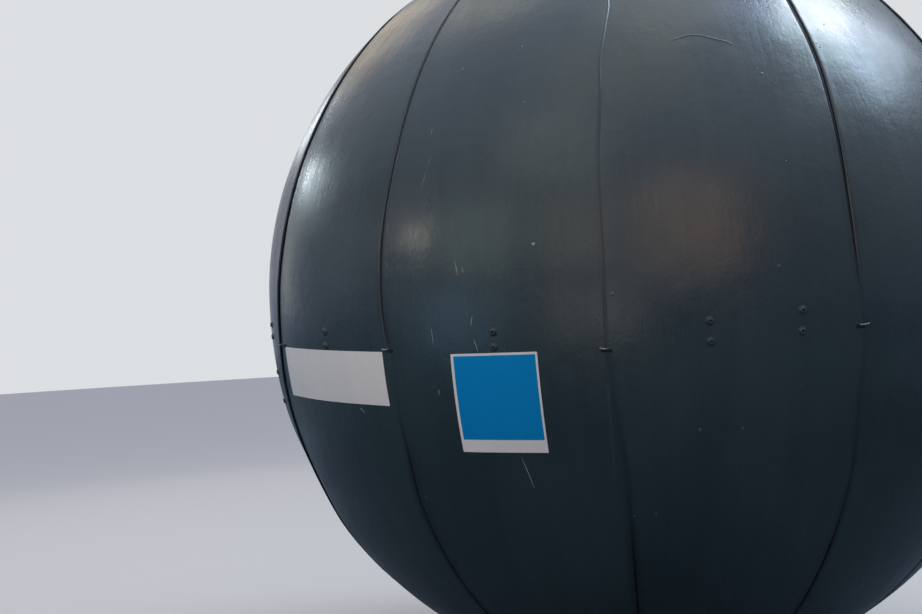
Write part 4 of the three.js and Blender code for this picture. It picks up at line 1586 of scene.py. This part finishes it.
    def lump(self, azimuth: float, latitude: float, length: float, width: float, turn: float) -> BMesh:
        """Return a small irregular blister."""
        form = bmesh.new()
        bmesh.ops.create_icosphere(form, subdivisions=2, radius=1.0)
        for vertex in form.verts:
            swell = noise.noise(vertex.co * 1.4 + Vector((azimuth, latitude, 0)))
            vertex.co *= 1 + self.lump_unevenness * swell
        size = Vector((length / 2, width / 2, length * self.lump_steepness)) * MM
        bmesh.ops.scale(form, verts=form.verts[:], vec=size)
        seat = self.hull.seat(math.radians(azimuth), math.radians(latitude), 0.0, math.radians(turn))
        return placed(form, seat)

    def crease_form(self, height: float, points: Sequence[tuple[float, float]]) -> BMesh:
        """Return a low ridge that runs through points."""
        hull = self.hull
        last = len(points) - 1
        azimuths, latitudes = (
            tuple((index / last, math.radians(point[axis])) for index, point in enumerate(points))
            for axis in (0, 1)
        )

        def at(along: float) -> Vector:
            return Vector((table_value(azimuths, along), table_value(latitudes, along)))

        def place(across: float, along: float) -> Vector:
            east, north = at(min(along + 0.02, 1.0)) - at(max(along - 0.02, 0.0))
            side = Vector((north, -east * math.cos(at(along).y))).normalized()
            side = side * across * self.crease_width / 2
            taper = math.sin(math.pi * along) ** 0.5
            lift = height * MM * taper * math.cos(across * math.pi / 2) ** 2
            return hull.point(*hull.moved(*at(along), *side), lift - self.crease_sunk)

        form = curved_patch(spread(-1.0, 1.0, 9), spread(0.01, 0.99, 40), place)
        middle = form.faces[:][len(form.faces) // 2]
        if middle.normal.dot(middle.calc_center_median() - hull.centre) < 0:
            bmesh.ops.reverse_faces(form, faces=form.faces[:])
        return thicken(form, self.crease_depth)


@dataclass
class PoleCaps(Assembly):
    """Domed caps over the panels' ends, with a ring of bolts."""

    edge_latitude: float = math.radians(78.07)
    steps: int = 14
    edge_rounding: float = 1.2 * MM
    bolt_count: int = 12
    bolt_latitude: float = math.radians(79.6)
    bolt_profile: Table = (
        (0.0, 1.0), (1.2, 1.0), (1.4, 2.4), (2.4, 2.2), (3.4, 1.6), (4.0, 0.6), (4.0, -0.6), (0.0, -0.6),
    )

    def build(self) -> None:
        """Build the cap at each pole."""
        for name, side in (("top", 1), ("bottom", -1)):
            self.piece(f"cap_{name}", self.cap_form(side), FinishSet.FITTING, [f"pole_cap_{name}"])

    def cap_form(self, side: int) -> BMesh:
        """Return a cap above (side 1) or below (side -1) with its bolts."""
        hull = self.hull
        latitudes = spread(self.edge_latitude, math.pi / 2, self.steps)
        faces = [(hull.radius, angle) for angle in latitudes]
        faces += [(hull.radius - hull.wall, angle) for angle in reversed(latitudes)]
        profile = [(radius * math.cos(angle), radius * math.sin(angle)) for radius, angle in faces]
        profile = [(reach if reach > 1e-6 else 0.0, height) for reach, height in profile]
        cap = turned(profile, 96, [0], self.edge_rounding, hull.centre)
        if side < 0:
            placed(cap, Matrix.Translation(UP * 2 * hull.centre.z) @ Matrix.Rotation(math.pi, 4, "X"))
        seats = []
        for index in range(self.bolt_count):
            azimuth = (index + 0.5) * 2 * math.pi / self.bolt_count
            out = hull.direction(azimuth, side * self.bolt_latitude)
            seats.append(facing(hull.centre + out * hull.radius, out))
        return joined([cap, repeated(turned(in_metres(self.bolt_profile), 16), seats)])


@dataclass
class HoistFitting(Assembly):
    """Round boss on the upper cap with two lugs."""

    seat_gap: float = 0.35 * MM
    boss_radius: float = 78 * MM
    boss_top: float = 722 * MM
    boss_rounding: float = 3 * MM
    lug_offset: float = 52 * MM
    lug_width: float = 56 * MM
    lug_thickness: float = 16 * MM
    eye_height: float = 34 * MM
    eye_radius: float = 14 * MM
    edge_rounding: float = 1.6 * MM
    weld_rounding: float = 2.2 * MM
    weld: float = 4.5 * MM
    weld_depth: float = 0.3 * MM

    def build(self) -> None:
        """Build the boss and both lugs."""
        radius, top = self.boss_radius, self.boss_top
        seat = [(share * radius, self.seat_height(share * radius)) for share in spread(0, 1, 7)]
        profile = [*seat, (radius, top), (0.0, top)]
        boss = turned(profile, 96, [len(seat)], self.boss_rounding, self.hull.centre)
        self.piece("boss", boss, FinishSet.STEEL, ["hoist_boss"])
        for number, side in ((1, -1), (2, 1)):
            self.piece(f"lug_{number}", self.lug_form(side), FinishSet.STEEL, [f"hoist_lug_{number}"])

    def seat_height(self, reach: float) -> float:
        """Return the height of the boss's underside at a distance from the axis."""
        return math.sqrt((self.hull.radius + self.seat_gap) ** 2 - reach**2)

    def outline_reach(self, angle: float) -> float:
        """Return the distance from the eye's middle to the lug's outline at an angle."""
        if math.sin(angle) >= 0:
            return self.lug_width / 2
        to_side = self.lug_width / 2 / max(abs(math.cos(angle)), 1e-6)
        return min(to_side, self.eye_height / abs(math.sin(angle)))

    def lug_form(self, side: int, segments: int = 64) -> BMesh:
        """Return one lug with its eye and the weld round its foot."""
        form = bmesh.new()
        eye = bmesh.ops.create_circle(form, radius=self.eye_radius, segments=segments)["verts"]
        rim = bmesh.ops.create_circle(form, radius=self.lug_width / 2, segments=segments)["verts"]
        for vertex in rim:
            angle = math.atan2(vertex.co.y, vertex.co.x)
            vertex.co = Vector((math.cos(angle), math.sin(angle), 0.0)) * self.outline_reach(angle)
        for corner_x in (-1, 1):
            corner = Vector((corner_x * self.lug_width / 2, -self.eye_height, 0.0))
            min(rim, key=lambda vertex: (vertex.co - corner).length).co = corner
        loops = list({edge for vertex in (*eye, *rim) for edge in vertex.link_edges})
        bmesh.ops.bridge_loops(form, edges=loops)
        extruded(form, UP * self.lug_thickness)
        round_edges(form, self.edge_rounding, 2, 0.9)
        foot = self.hull.centre.z + self.boss_top + self.seat_gap
        upright = Matrix.Rotation(math.pi / 2, 4, "Z") @ Matrix.Rotation(math.pi / 2, 4, "X")
        lift = Matrix.Translation((side * self.lug_offset, 0.0, foot + self.eye_height))
        placed(form, lift @ upright @ Matrix.Translation(UP * (-self.lug_thickness / 2)))
        size = (self.lug_thickness + self.weld, self.lug_width + self.weld, self.weld)
        weld = round_edges(bar(size), self.weld_rounding, 3)
        shifted(weld, side * self.lug_offset, 0.0, foot + self.weld / 2 - self.weld_depth)
        return joined([form, weld])


@dataclass
class CabinStructure(Assembly):
    """Deck below the hatch and the ring that ties the ribs above it."""

    rounding: float = 2 * MM
    ring_width: float = 26 * MM
    off_ribs: float = 2.0 * MM

    def build(self) -> None:
        """Build the deck and the ring to their packed sizes."""
        self.build_disc("deck", FinishSet.DECK, "cabin_deck", [1, 2])
        self.build_disc("tie_ring", FinishSet.RIB, "rib_tie_ring", range(4), self.ring_width)

    def build_disc(
        self, name: str, finish: FinishBase, node: str, rounded: Sequence[int], width: float = math.inf,
    ) -> None:
        """Build a disc, or a ring of a width, whose rim follows the ribs' inner faces."""
        low, high = (corner.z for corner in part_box(node))
        bore = max(0.0, self.reach(high) - width)
        profile = [(bore, low), (self.reach(low), low), (self.reach(high), high), (bore, high)]
        self.piece(name, turned(profile, 120, rounded, self.rounding), finish, [node])

    def reach(self, height: float) -> float:
        """Return how far the ribs' inner faces are from the axis at a height, less a gap."""
        radius = self.hull.radius - SeamRibs.inner_depth
        return math.sqrt(radius**2 - (height - self.hull.centre.z) ** 2) - self.off_ribs


@dataclass
class Hatch(Assembly):
    """Round hatch at the back: frame, rubber seal, door, porthole, hinge and handle."""

    frame_outer: float = 300 * MM
    frame_bore: float = 261 * MM
    lip_bore: float = 240 * MM
    frame_back: float = 664 * MM
    frame_rounding: float = 1.2 * MM
    lip_face: float = 676 * MM
    door_radius: float = 255.5 * MM
    door_back: float = 682 * MM
    door_rounding: float = 1.6 * MM
    porthole_radius: float = 74 * MM
    bezel_radius: float = 100 * MM
    bezel_top: float = 704.6 * MM
    bezel_rounding: float = 1.4 * MM
    pane_radius: float = 66 * MM
    pane_thickness: float = 9 * MM
    pane_inset: float = 3 * MM
    pane_rounding: float = 0.6 * MM
    seat_gap: float = 0.35 * MM
    seal_radius: float = 2.4 * MM
    hinge_x: float = -276 * MM
    hinge_y: float = 660 * MM
    knuckle_radius: float = 10 * MM
    bore_radius: float = 5.4 * MM
    pin_radius: float = 5 * MM
    pin_proud: float = 4 * MM
    knuckle_length: float = 80 * MM
    bracket_length: float = 26 * MM
    end_gap: float = 5 * MM
    strap_height: float = 64 * MM
    strap_thickness: float = 8 * MM
    strap_end: float = math.radians(13)
    pad_end: float = math.radians(20.6)
    running_gap: float = 5.5 * MM
    bracket_half_angle: float = math.radians(0.7)
    handle_x: float = 205 * MM
    handle_boss_radius: float = 22 * MM
    handle_boss_height: float = 20 * MM
    handle_boss_rounding: float = 3 * MM
    lever_length: float = 118 * MM
    lever_width: float = 20 * MM
    lever_thickness: float = 9 * MM
    lever_rounding: float = 2.6 * MM
    lever_proud: float = 1 * MM
    nut_radius: float = 9 * MM
    nut_depth: float = 5 * MM
    nut_lift: float = 1.5 * MM
    screw_profile: Table = (
        (0.0, 0.5), (0.9, 0.5), (1.1, 1.2), (2.6, 1.1), (3.8, 0.7), (4.4, 0.1), (4.4, -0.8), (0.0, -0.8),
    )

    def build(self) -> None:
        """Build the fixed pieces and then those that swing."""
        self.build_frame()
        self.build_door()
        self.build_porthole()
        self.build_hinge()
        self.build_handle()

    def at(self, radius: float, distance: float) -> tuple[float, float]:
        """Return radius and height along the hatch's axis of a point on a sphere about the hull's middle."""
        return radius, math.sqrt(distance**2 - radius**2)

    def turned(
        self, profile: Profile, steps: int, rounded: Sequence[int] = (), rounding: float = 1.0 * MM,
    ) -> BMesh:
        """Turn a profile about the hatch's axis."""
        return turned(profile, steps, rounded, rounding, self.hull.centre, BACK)

    def screws(self, seats: Iterable[Matrix]) -> BMesh:
        """Return a screw on each seat."""
        return repeated(turned(in_metres(self.screw_profile), 14), seats)

    def screw_ring(self, radius: float, distance: float, count: int) -> BMesh:
        """Return a ring of screws.

        Args:
            radius: Radius of the ring about the hatch's axis.
            distance: Distance of the heads from the hull's middle.
            count: Number of screws.

        Returns:
            The screws as one form.
        """
        reach, height = self.at(radius, distance)
        angles = [2 * math.pi * (index + 0.5) / count for index in range(count)]
        outs = [Vector((reach * math.sin(angle), height, reach * math.cos(angle))) for angle in angles]
        return self.screws([facing(self.hull.centre + out, out) for out in outs])

    def build_frame(self) -> None:
        """Build the frame with its screws, and the seal on its lip."""
        radius = self.hull.radius
        face = [self.at(reach, radius) for reach in spread(self.frame_bore, self.frame_outer, 6)]
        back = [self.at(reach, self.frame_back) for reach in spread(self.frame_outer, self.lip_bore, 6)]
        bore, lip = self.at(self.frame_bore, self.lip_face), self.at(self.lip_bore, self.lip_face)
        profile = [bore, *face, *back, lip]
        ring = self.turned(profile, 144, [1, 6, 12, 13], self.frame_rounding)
        screws = self.screw_ring((self.frame_bore + self.frame_outer) / 2, radius, 24)
        self.piece("frame_ring", joined([ring, screws]), FinishSet.FRAME, ["hatch_frame"])
        reach, height = self.at((self.lip_bore + self.door_radius) / 2, self.lip_face + self.seal_radius)
        seal = self.turned(circle(reach, height, self.seal_radius, 12), 144)
        self.piece("hatch_seal", seal, FinishSet.RUBBER)

    def build_door(self) -> None:
        """Build the curved door with its hole for the porthole."""
        radii = spread(self.porthole_radius, self.door_radius, 16)
        profile = [self.at(radius, self.hull.radius) for radius in radii]
        profile += [self.at(radius, self.door_back) for radius in reversed(radii)]
        door = self.turned(profile, 144, [15, 16], self.door_rounding)
        for face in door.faces:
            inward = (self.hull.centre - face.calc_center_median()).normalized()
            face.material_index = 1 if face.normal.dot(inward) > 0.9 else 0
        self.shop.map_skin(door, math.pi)
        self.piece("door", door, FinishSet.HULL, ["hatch_door"], Body.HATCH, inner=FinishSet.LINER)

    def build_porthole(self) -> None:
        """Build the bezel with its screws, and the pane."""
        tube = self.porthole_radius - self.seat_gap
        over_door = self.hull.radius + self.seat_gap
        corners = (
            (tube, self.door_back), (tube, over_door), (self.bezel_radius, over_door),
            (self.bezel_radius, self.bezel_top), (self.pane_radius, self.bezel_top),
            (self.pane_radius, self.door_back),
        )
        bezel = self.turned([self.at(*corner) for corner in corners], 96, [3, 4], self.bezel_rounding)
        screws = self.screw_ring((self.pane_radius + self.bezel_radius) / 2 + 2 * MM, self.bezel_top, 12)
        self.piece("bezel", joined([bezel, screws]), FinishSet.STEEL, ["porthole_bezel"], Body.HATCH)
        back = self.at(self.porthole_radius, self.door_back)[1] + self.pane_inset
        profile = rectangle(0.0, self.pane_radius - self.seat_gap, back, back + self.pane_thickness)
        pane = self.turned(profile, 96, [1, 2], self.pane_rounding)
        self.piece("pane", pane, FinishSet.GLASS, ["porthole_pane"], Body.HATCH)

    def on_arc(self, radius: float, angle: float, height: float) -> Vector:
        """Return a point at an angle from +Y towards -X and a height from the hull's middle."""
        return self.hull.centre + Vector((-radius * math.sin(angle), radius * math.cos(angle), height))

    def build_hinge(self) -> None:
        """Build the strap with its knuckle, and the brackets with their pin."""
        axis_angle = math.atan2(-self.hinge_x, self.hinge_y)
        axis_radius = math.hypot(self.hinge_x, self.hinge_y)
        on_hull = self.hull.radius + self.seat_gap
        over_frame = self.hull.radius + self.running_gap
        top = over_frame + self.strap_thickness
        foot = -self.strap_height / 2
        outline = [self.on_arc(on_hull, angle, foot) for angle in spread(self.strap_end, self.pad_end, 6)]
        outline += [self.on_arc(over_frame, angle, foot) for angle in (self.pad_end, axis_angle)]
        outline += [self.on_arc(top, angle, foot) for angle in spread(axis_angle, self.strap_end, 8)]
        strap = round_edges(extruded(outline_face(outline), UP * self.strap_height), 1.2 * MM, 2, 0.6)
        swinging = joined([strap, self.knuckle(0.0, self.knuckle_length), self.strap_screws(top)])
        self.piece("hinge_strap", swinging, FinishSet.STEEL, ["hatch_hinge_strap"], Body.HATCH)
        bracket_z = (self.knuckle_length + self.bracket_length) / 2 + self.end_gap
        near, far = axis_angle - self.bracket_half_angle, axis_angle + self.bracket_half_angle
        root = math.sqrt(on_hull**2 - (bracket_z - self.bracket_length / 2) ** 2)
        forms = []
        for side in (-1, 1):
            foot = side * bracket_z - self.bracket_length / 2
            corners = ((root, near), (root, far), (axis_radius, far), (axis_radius, near))
            web = outline_face(self.on_arc(radius, angle, foot) for radius, angle in corners)
            forms.append(round_edges(extruded(web, UP * self.bracket_length), 1.0 * MM, 2, 0.6))
            forms.append(self.knuckle(side * bracket_z, self.bracket_length))
        half_pin = bracket_z + self.bracket_length / 2 + self.pin_proud
        pin = rectangle(0.0, self.pin_radius, -half_pin, half_pin)
        forms.append(turned(pin, 32, [1, 2], 1.2 * MM, self.on_hinge(0.0)))
        self.piece("hinge_pin", joined(forms), FinishSet.STEEL, ["hatch_hinge_pin"])

    def on_hinge(self, height: float) -> Vector:
        """Return a point on the hinge's axis at a height from the hull's middle."""
        return self.hull.centre + Vector((self.hinge_x, self.hinge_y, height))

    def knuckle(self, middle: float, length: float) -> BMesh:
        """Return a bored barrel on the hinge's axis, at a height from the hull's middle."""
        profile = rectangle(self.bore_radius, self.knuckle_radius, -length / 2, length / 2)
        return turned(profile, 40, [1, 2], 0.9 * MM, self.on_hinge(middle))

    def strap_screws(self, top: float) -> BMesh:
        """Return the four screws that hold the strap to the door."""
        seats = []
        for angle in (self.strap_end + math.radians(1.6), self.pad_end - math.radians(1.8)):
            for height in (-self.strap_height / 3, self.strap_height / 3):
                out = Vector((-math.sin(angle), math.cos(angle), 0.0))
                seats.append(facing(self.on_arc(top, angle, height), out))
        return self.screws(seats)

    def build_handle(self) -> None:
        """Build the boss and its hanging lever."""
        top = self.handle_boss_height
        profile = rectangle(0.0, self.handle_boss_radius, 0.0, top)
        boss = turned(profile, 48, [2], self.handle_boss_rounding, axis=BACK)
        lever = bar((self.lever_width, self.lever_thickness, self.lever_length), 2, 8)
        for vertex in lever.verts:
            down = 0.5 - vertex.co.z / self.lever_length
            vertex.co.x *= lerp(1.0, 0.72, smooth_step(0.1, 0.5, down)) + 0.16 * smooth_step(0.75, 1.0, down)
        round_edges(lever, self.lever_rounding, 3, 0.8)
        shifted(lever, 0.0, top - self.lever_thickness / 2 + self.lever_proud, -self.lever_length / 2)
        nut = round_edges(prism(self.nut_radius, self.nut_depth), HEAD_ROUNDING, 2, 0.8)
        placed(nut, Matrix.Translation(BACK * (top + self.nut_lift)) @ Matrix.Rotation(-math.pi / 2, 4, "X"))
        whole = shifted(joined([boss, lever, nut]), 0.0, self.hull.radius + self.seat_gap, 0.0)
        angle = math.asin(self.handle_x / self.hull.radius)
        seat = Matrix.Translation(self.hull.centre) @ Matrix.Rotation(-angle, 4, "Z")
        self.piece("handle", placed(whole, seat), FinishSet.STEEL, ["hatch_handle"], Body.HATCH)


@dataclass
class AdapterRing(Assembly):
    """Skirt with gussets under the hull, and the bolted flange that it stands on."""

    skirt_inner: float = 302 * MM
    skirt_outer: float = 314 * MM
    flange_inner: float = 276 * MM
    flange_outer: float = 344 * MM
    flange_thickness: float = 14 * MM
    flange_rounding: float = 1.5 * MM
    seat_gap: float = 0.35 * MM
    gusset_count: int = 12
    gusset_thickness: float = 8 * MM
    gusset_reach: float = 22 * MM
    gusset_height: float = 62 * MM
    gusset_root: float = 4 * MM
    gusset_top: float = 2 * MM
    gusset_rounding: float = 1.0 * MM
    bolt_radius: float = 329 * MM
    bolts_per_bay: int = 2
    bolt_size: float = 8.5 * MM
    bolt_head: float = 7 * MM
    bolt_lift: float = 1.6 * MM
    washer_radius: float = 11 * MM
    washer_top: float = 1.8 * MM
    washer_sunk: float = 0.2 * MM
    washer_rounding: float = 0.5 * MM
    sealant_radius: float = 3.2 * MM
    sealant_offset: float = 0.5 * MM

    def build(self) -> None:
        """Build skirt, flange, bolts and the bead of sealant under the hull."""
        foot = self.flange_thickness + self.seat_gap
        inner, outer = self.skirt_inner, self.skirt_outer
        tops = [(reach, self.hull_height(reach)) for reach in (outer, inner)]
        profile = [(inner, foot), (outer, foot), *tops]
        gussets = [self.gusset(index, foot) for index in range(self.gusset_count)]
        self.piece("skirt", joined([turned(profile, 144), *gussets]), FinishSet.FRAME, ["adapter_skirt"])
        profile = rectangle(self.flange_inner, self.flange_outer, 0.0, self.flange_thickness)
        flange = turned(profile, 144, range(4), self.flange_rounding)
        self.piece("flange", flange, FinishSet.STEEL, ["adapter_flange"])
        self.piece("flange_bolts", self.bolt_forms(), FinishSet.CLIP)
        reach = outer + self.sealant_offset
        sealant = turned(circle(reach, self.hull_height(reach), self.sealant_radius, 10), 144)
        self.piece("skirt_sealant", sealant, FinishSet.RUBBER)

    def hull_height(self, reach: float) -> float:
        """Return the height of the hull's underside at a distance from the axis."""
        return self.hull.centre.z - math.sqrt((self.hull.radius + self.seat_gap) ** 2 - reach**2)

    def gusset(self, index: int, foot: float) -> BMesh:
        """Return one gusset plate."""
        root = self.skirt_outer - self.gusset_root
        tip = self.skirt_outer + self.gusset_reach
        outline = [
            (root, foot), (tip, foot), (tip, foot + self.gusset_thickness),
            (self.skirt_outer + self.gusset_top, foot + self.gusset_height),
            (root, foot + self.gusset_height),
        ]
        half = self.gusset_thickness / 2
        face = outline_face(Vector((-half, -reach, height)) for reach, height in outline)
        plate = round_edges(extruded(face, Vector((2 * half, 0, 0))), self.gusset_rounding)
        turn = (index + 0.5) * 2 * math.pi / self.gusset_count
        return placed(plate, Matrix.Rotation(turn, 4, "Z"))

    def bolt_forms(self) -> BMesh:
        """Return the hexagon bolts with their washers, spread between the gussets."""
        head = round_edges(prism(self.bolt_size, self.bolt_head), HEAD_ROUNDING, 2, 0.8)
        shifted(head, 0.0, 0.0, self.bolt_head / 2 + self.bolt_lift)
        profile = rectangle(0.0, self.washer_radius, -self.washer_sunk, self.washer_top)
        washer = turned(profile, 32, [2], self.washer_rounding)
        count = self.gusset_count * self.bolts_per_bay
        seats = []
        for index in range(count):
            angle = 2 * math.pi / self.gusset_count / self.bolts_per_bay * (index + 0.5)
            across, along = self.bolt_radius * math.sin(angle), -self.bolt_radius * math.cos(angle)
            place = Matrix.Translation((across, along, self.flange_thickness))
            seats.append(place @ Matrix.Rotation(index * 0.7, 4, "Z"))
        return repeated(joined([head, washer]), seats)


@dataclass(frozen=True)
class SoftLight:
    """Soft area light that looks at the hull's middle. Angles are in degrees, sizes in metres."""

    name: str
    azimuth: float
    elevation: float
    distance: float
    width: float
    height: float
    radiance: float
    colour: Colour = (1.0, 1.0, 1.0)

    def build(self, target: Vector) -> None:
        """Add the light to the scene."""
        out = HullForm.direction(math.radians(self.azimuth), math.radians(self.elevation))
        lamp = bpy.data.lights.new(self.name, "AREA")
        lamp.shape = "RECTANGLE"
        lamp.size = self.width
        lamp.size_y = self.height
        lamp.energy = self.radiance * math.pi * self.width * self.height
        lamp.color = self.colour
        made = put(self.name, lamp)
        made.matrix_world = facing(target + out * self.distance, out)
        made.visible_camera = False
        log.info("%s: light", self.name)


@dataclass
class Studio(Assembly):
    """Plain pale floor, soft lights and camera.

    The floor looks pale to the camera, and the bounce colours are what it throws back on the hull: near,
    far off from bounce_distance on, and on the right from bounce_turn on. The sky starts each colour with
    the height of its direction.
    """

    floor_radius: float = 16.0
    floor_colour: Colour = (0.50, 0.47, 0.44)
    bounce_near: Colour = (0.060, 0.080, 0.110)
    bounce_far: Colour = (0.095, 0.130, 0.160)
    bounce_right: Colour = (0.022, 0.030, 0.045)
    bounce_distance: tuple[float, float] = (1.6, 2.5)
    bounce_turn: tuple[float, float] = (0.5, 1.7)
    backdrop: Colour = (0.72, 0.74, 0.76)
    sky: tuple[tuple[float, Colour], ...] = (
        (0.0, (0.25, 0.29, 0.42)), (0.35, (0.34, 0.36, 0.41)), (0.7, (0.69, 0.75, 0.93)),
        (1.0, (0.96, 1.05, 1.35)),
    )
    camera_offset: tuple[float, float, float] = (0.1371, -2.498, -0.0129)
    camera_right: tuple[float, float, float] = (0.98049, 0.18971, -0.05143)
    camera_up: tuple[float, float, float] = (0.0518, 0.003, 0.99865)
    focal_px: float = 1286.0
    frame_width_px: float = 922.0
    sensor_mm: float = 36.0
    lights: tuple[SoftLight, ...] = (
        SoftLight("window_low", 98, 42, 4.2, 0.95, 0.9, 9.4, (0.52, 0.70, 0.88)),
        SoftLight("window_middle", 97, 54, 4.2, 0.95, 0.9, 8.5, (0.60, 0.93, 1.0)),
        SoftLight("window_right", 110, 54, 4.2, 0.95, 0.9, 8.6, (0.87, 0.78, 1.0)),
        SoftLight("window_far_low", 117, 42, 4.2, 0.95, 0.9, 6.0, (0.66, 0.78, 0.94)),
        SoftLight("window_far", 123, 54, 4.2, 0.95, 0.9, 8.0, (0.83, 1.0, 0.92)),
        SoftLight("window_top", 97, 66, 4.2, 1.2, 0.9, 1.8, (0.35, 0.5, 1.0)),
        SoftLight("window_left", -116.0, 21.4, 4.0, 0.20, 0.33, 18.0, (0.86, 0.94, 1.0)),
        SoftLight("window_left_near", -110, 21, 4.0, 0.45, 0.6, 3.7, (0.72, 0.92, 0.98)),
        SoftLight("window_behind", -138, 22, 4.0, 0.40, 0.65, 5.0, (0.90, 0.95, 1.0)),
        SoftLight("panel_left", -139, 37, 4.4, 1.6, 1.2, 0.9, (1.0, 0.77, 0.43)),
        SoftLight("panel_left_low", -120, 8, 4.4, 1.0, 1.2, 0.62, (1.0, 0.98, 0.88)),
        SoftLight("panel_behind", -150, 7, 4.4, 1.8, 1.6, 0.34, (1.0, 0.95, 0.88)),
        SoftLight("panel_left_near", -125, 29, 4.2, 0.7, 0.9, 0.38, (0.80, 0.86, 1.0)),
        SoftLight("panel_top_left", -129, 64, 4.4, 1.8, 1.6, 0.78, (1.0, 0.94, 0.48)),
        SoftLight("panel_top_right", 60, 80, 4.4, 1.8, 1.6, 0.94, (1.0, 0.98, 0.65)),
        SoftLight("panel_front_high", 0, 62, 4.4, 2.4, 1.6, 0.34, (0.96, 1.0, 0.20)),
        SoftLight("panel_front", -20, 40, 4.4, 2.0, 1.4, 0.60, (0.96, 1.0, 0.66)),
        SoftLight("panel_right", 78, 24, 4.4, 1.5, 1.3, 0.12, (0.60, 0.85, 1.0)),
        SoftLight("lamp_left", -59, 16.8, 4.5, 0.50, 0.42, 8.6, (1.0, 0.91, 0.76)),
        SoftLight("row_far_left", -83, 12, 4.5, 1.4, 1.4, 0.28, (0.75, 0.90, 1.0)),
        SoftLight("row_left", -38, 17, 4.5, 1.3, 1.2, 1.14, (0.86, 1.0, 0.77)),
        SoftLight("row_middle", -12, 17, 4.5, 1.5, 1.3, 0.9, (1.0, 0.84, 0.62)),
        SoftLight("lamp_right", 18, 18, 4.5, 2.0, 1.9, 1.15, (1.0, 0.60, 0.36)),
        SoftLight("low_left", -45, -4, 4.5, 1.6, 1.2, 1.12, (0.37, 0.71, 1.0)),
        SoftLight("low_middle", -8, -4, 4.5, 1.8, 1.2, 0.95, (0.90, 0.80, 0.62)),
    )

    def build(self) -> None:
        """Set up the view, the floor, the world and the lights."""
        bpy.context.scene.view_settings.view_transform = "Standard"
        self.build_camera()
        self.build_floor()
        self.build_world()
        for light in self.lights:
            light.build(self.hull.centre)

    def build_camera(self) -> None:
        """Add the camera at the photograph's place, found from the hull's outline and seams."""
        right, up = Vector(self.camera_right).normalized(), Vector(self.camera_up).normalized()
        lens = bpy.data.cameras.new("camera")
        lens.sensor_width = self.sensor_mm
        lens.lens = self.focal_px / self.frame_width_px * self.sensor_mm
        made = put("camera", lens)
        turn = Matrix((right, up, right.cross(up))).transposed().to_4x4()
        made.matrix_world = Matrix.Translation(self.hull.centre + Vector(self.camera_offset)) @ turn
        bpy.context.scene.camera = made
        log.info("camera: lens %.1f mm", lens.lens)

    def build_floor(self) -> None:
        """Add the floor, which looks pale but throws little light back, least of all on the right."""
        form = bmesh.new()
        bmesh.ops.create_circle(form, cap_ends=True, radius=self.floor_radius, segments=96)
        mesh = as_mesh("studio_floor", form)
        form.free()
        material = bpy.data.materials.new("studio_floor")
        material.use_nodes = True
        sketch = NodeSketch(material.node_tree)
        seen = sketch.add("LightPath").outputs["Is Camera Ray"]
        place = sketch.add("TexCoord").outputs["Object"]
        distance = sketch.add("VectorMath", {0: place}, operation="LENGTH").outputs["Value"]
        side = sketch.add("SeparateXYZ", {0: place}).outputs["X"]
        bounce = sketch.blend(sketch.span(side, *self.bounce_turn), self.bounce_near, self.bounce_right)
        bounce = sketch.blend(sketch.span(distance, *self.bounce_distance), bounce, self.bounce_far)
        colour = sketch.blend(seen, bounce, self.floor_colour)
        sketch.feed(material.node_tree.nodes["Principled BSDF"], {"Base Color": colour, "Roughness": 0.8})
        mesh.materials.append(material)
        put("studio_floor", mesh)

    def build_world(self) -> None:
        """Set a pale backdrop for the camera, and soft light that grows towards the zenith for all else."""
        world = bpy.data.worlds.new("studio")
        world.use_nodes = True
        bpy.context.scene.world = world
        sketch = NodeSketch(world.node_tree)
        world.node_tree.nodes.clear()
        direction = sketch.add("TexCoord").outputs["Generated"]
        height = sketch.add("SeparateXYZ", {0: direction}).outputs["Z"]
        sky = self.sky[0][1]
        for (low, _), (high, colour) in zip(self.sky, self.sky[1:]):
            sky = sketch.blend(sketch.span(height, low, high, smooth=False), sky, colour)
        seen = sketch.add("LightPath").outputs["Is Camera Ray"]
        colour = sketch.blend(seen, sky, self.backdrop)
        background = sketch.add("Background", {"Color": colour, "Strength": 1.0})
        sketch.add("OutputWorld", {0: background.outputs[0]})


def main() -> None:
    """Build the studio and every sub-assembly."""
    logging.basicConfig(level=logging.INFO, format="%(name)s: %(message)s")
    shop = Workshop()
    Studio(shop).build()
    for part in (
        HullPanels, SeamBeads, SeamRibs, HullBolts, Stickers, PaintMarks, PoleCaps, HoistFitting,
        CabinStructure, Hatch, AdapterRing,
    ):
        part(shop).build()


if __name__ == "__main__":
    main()
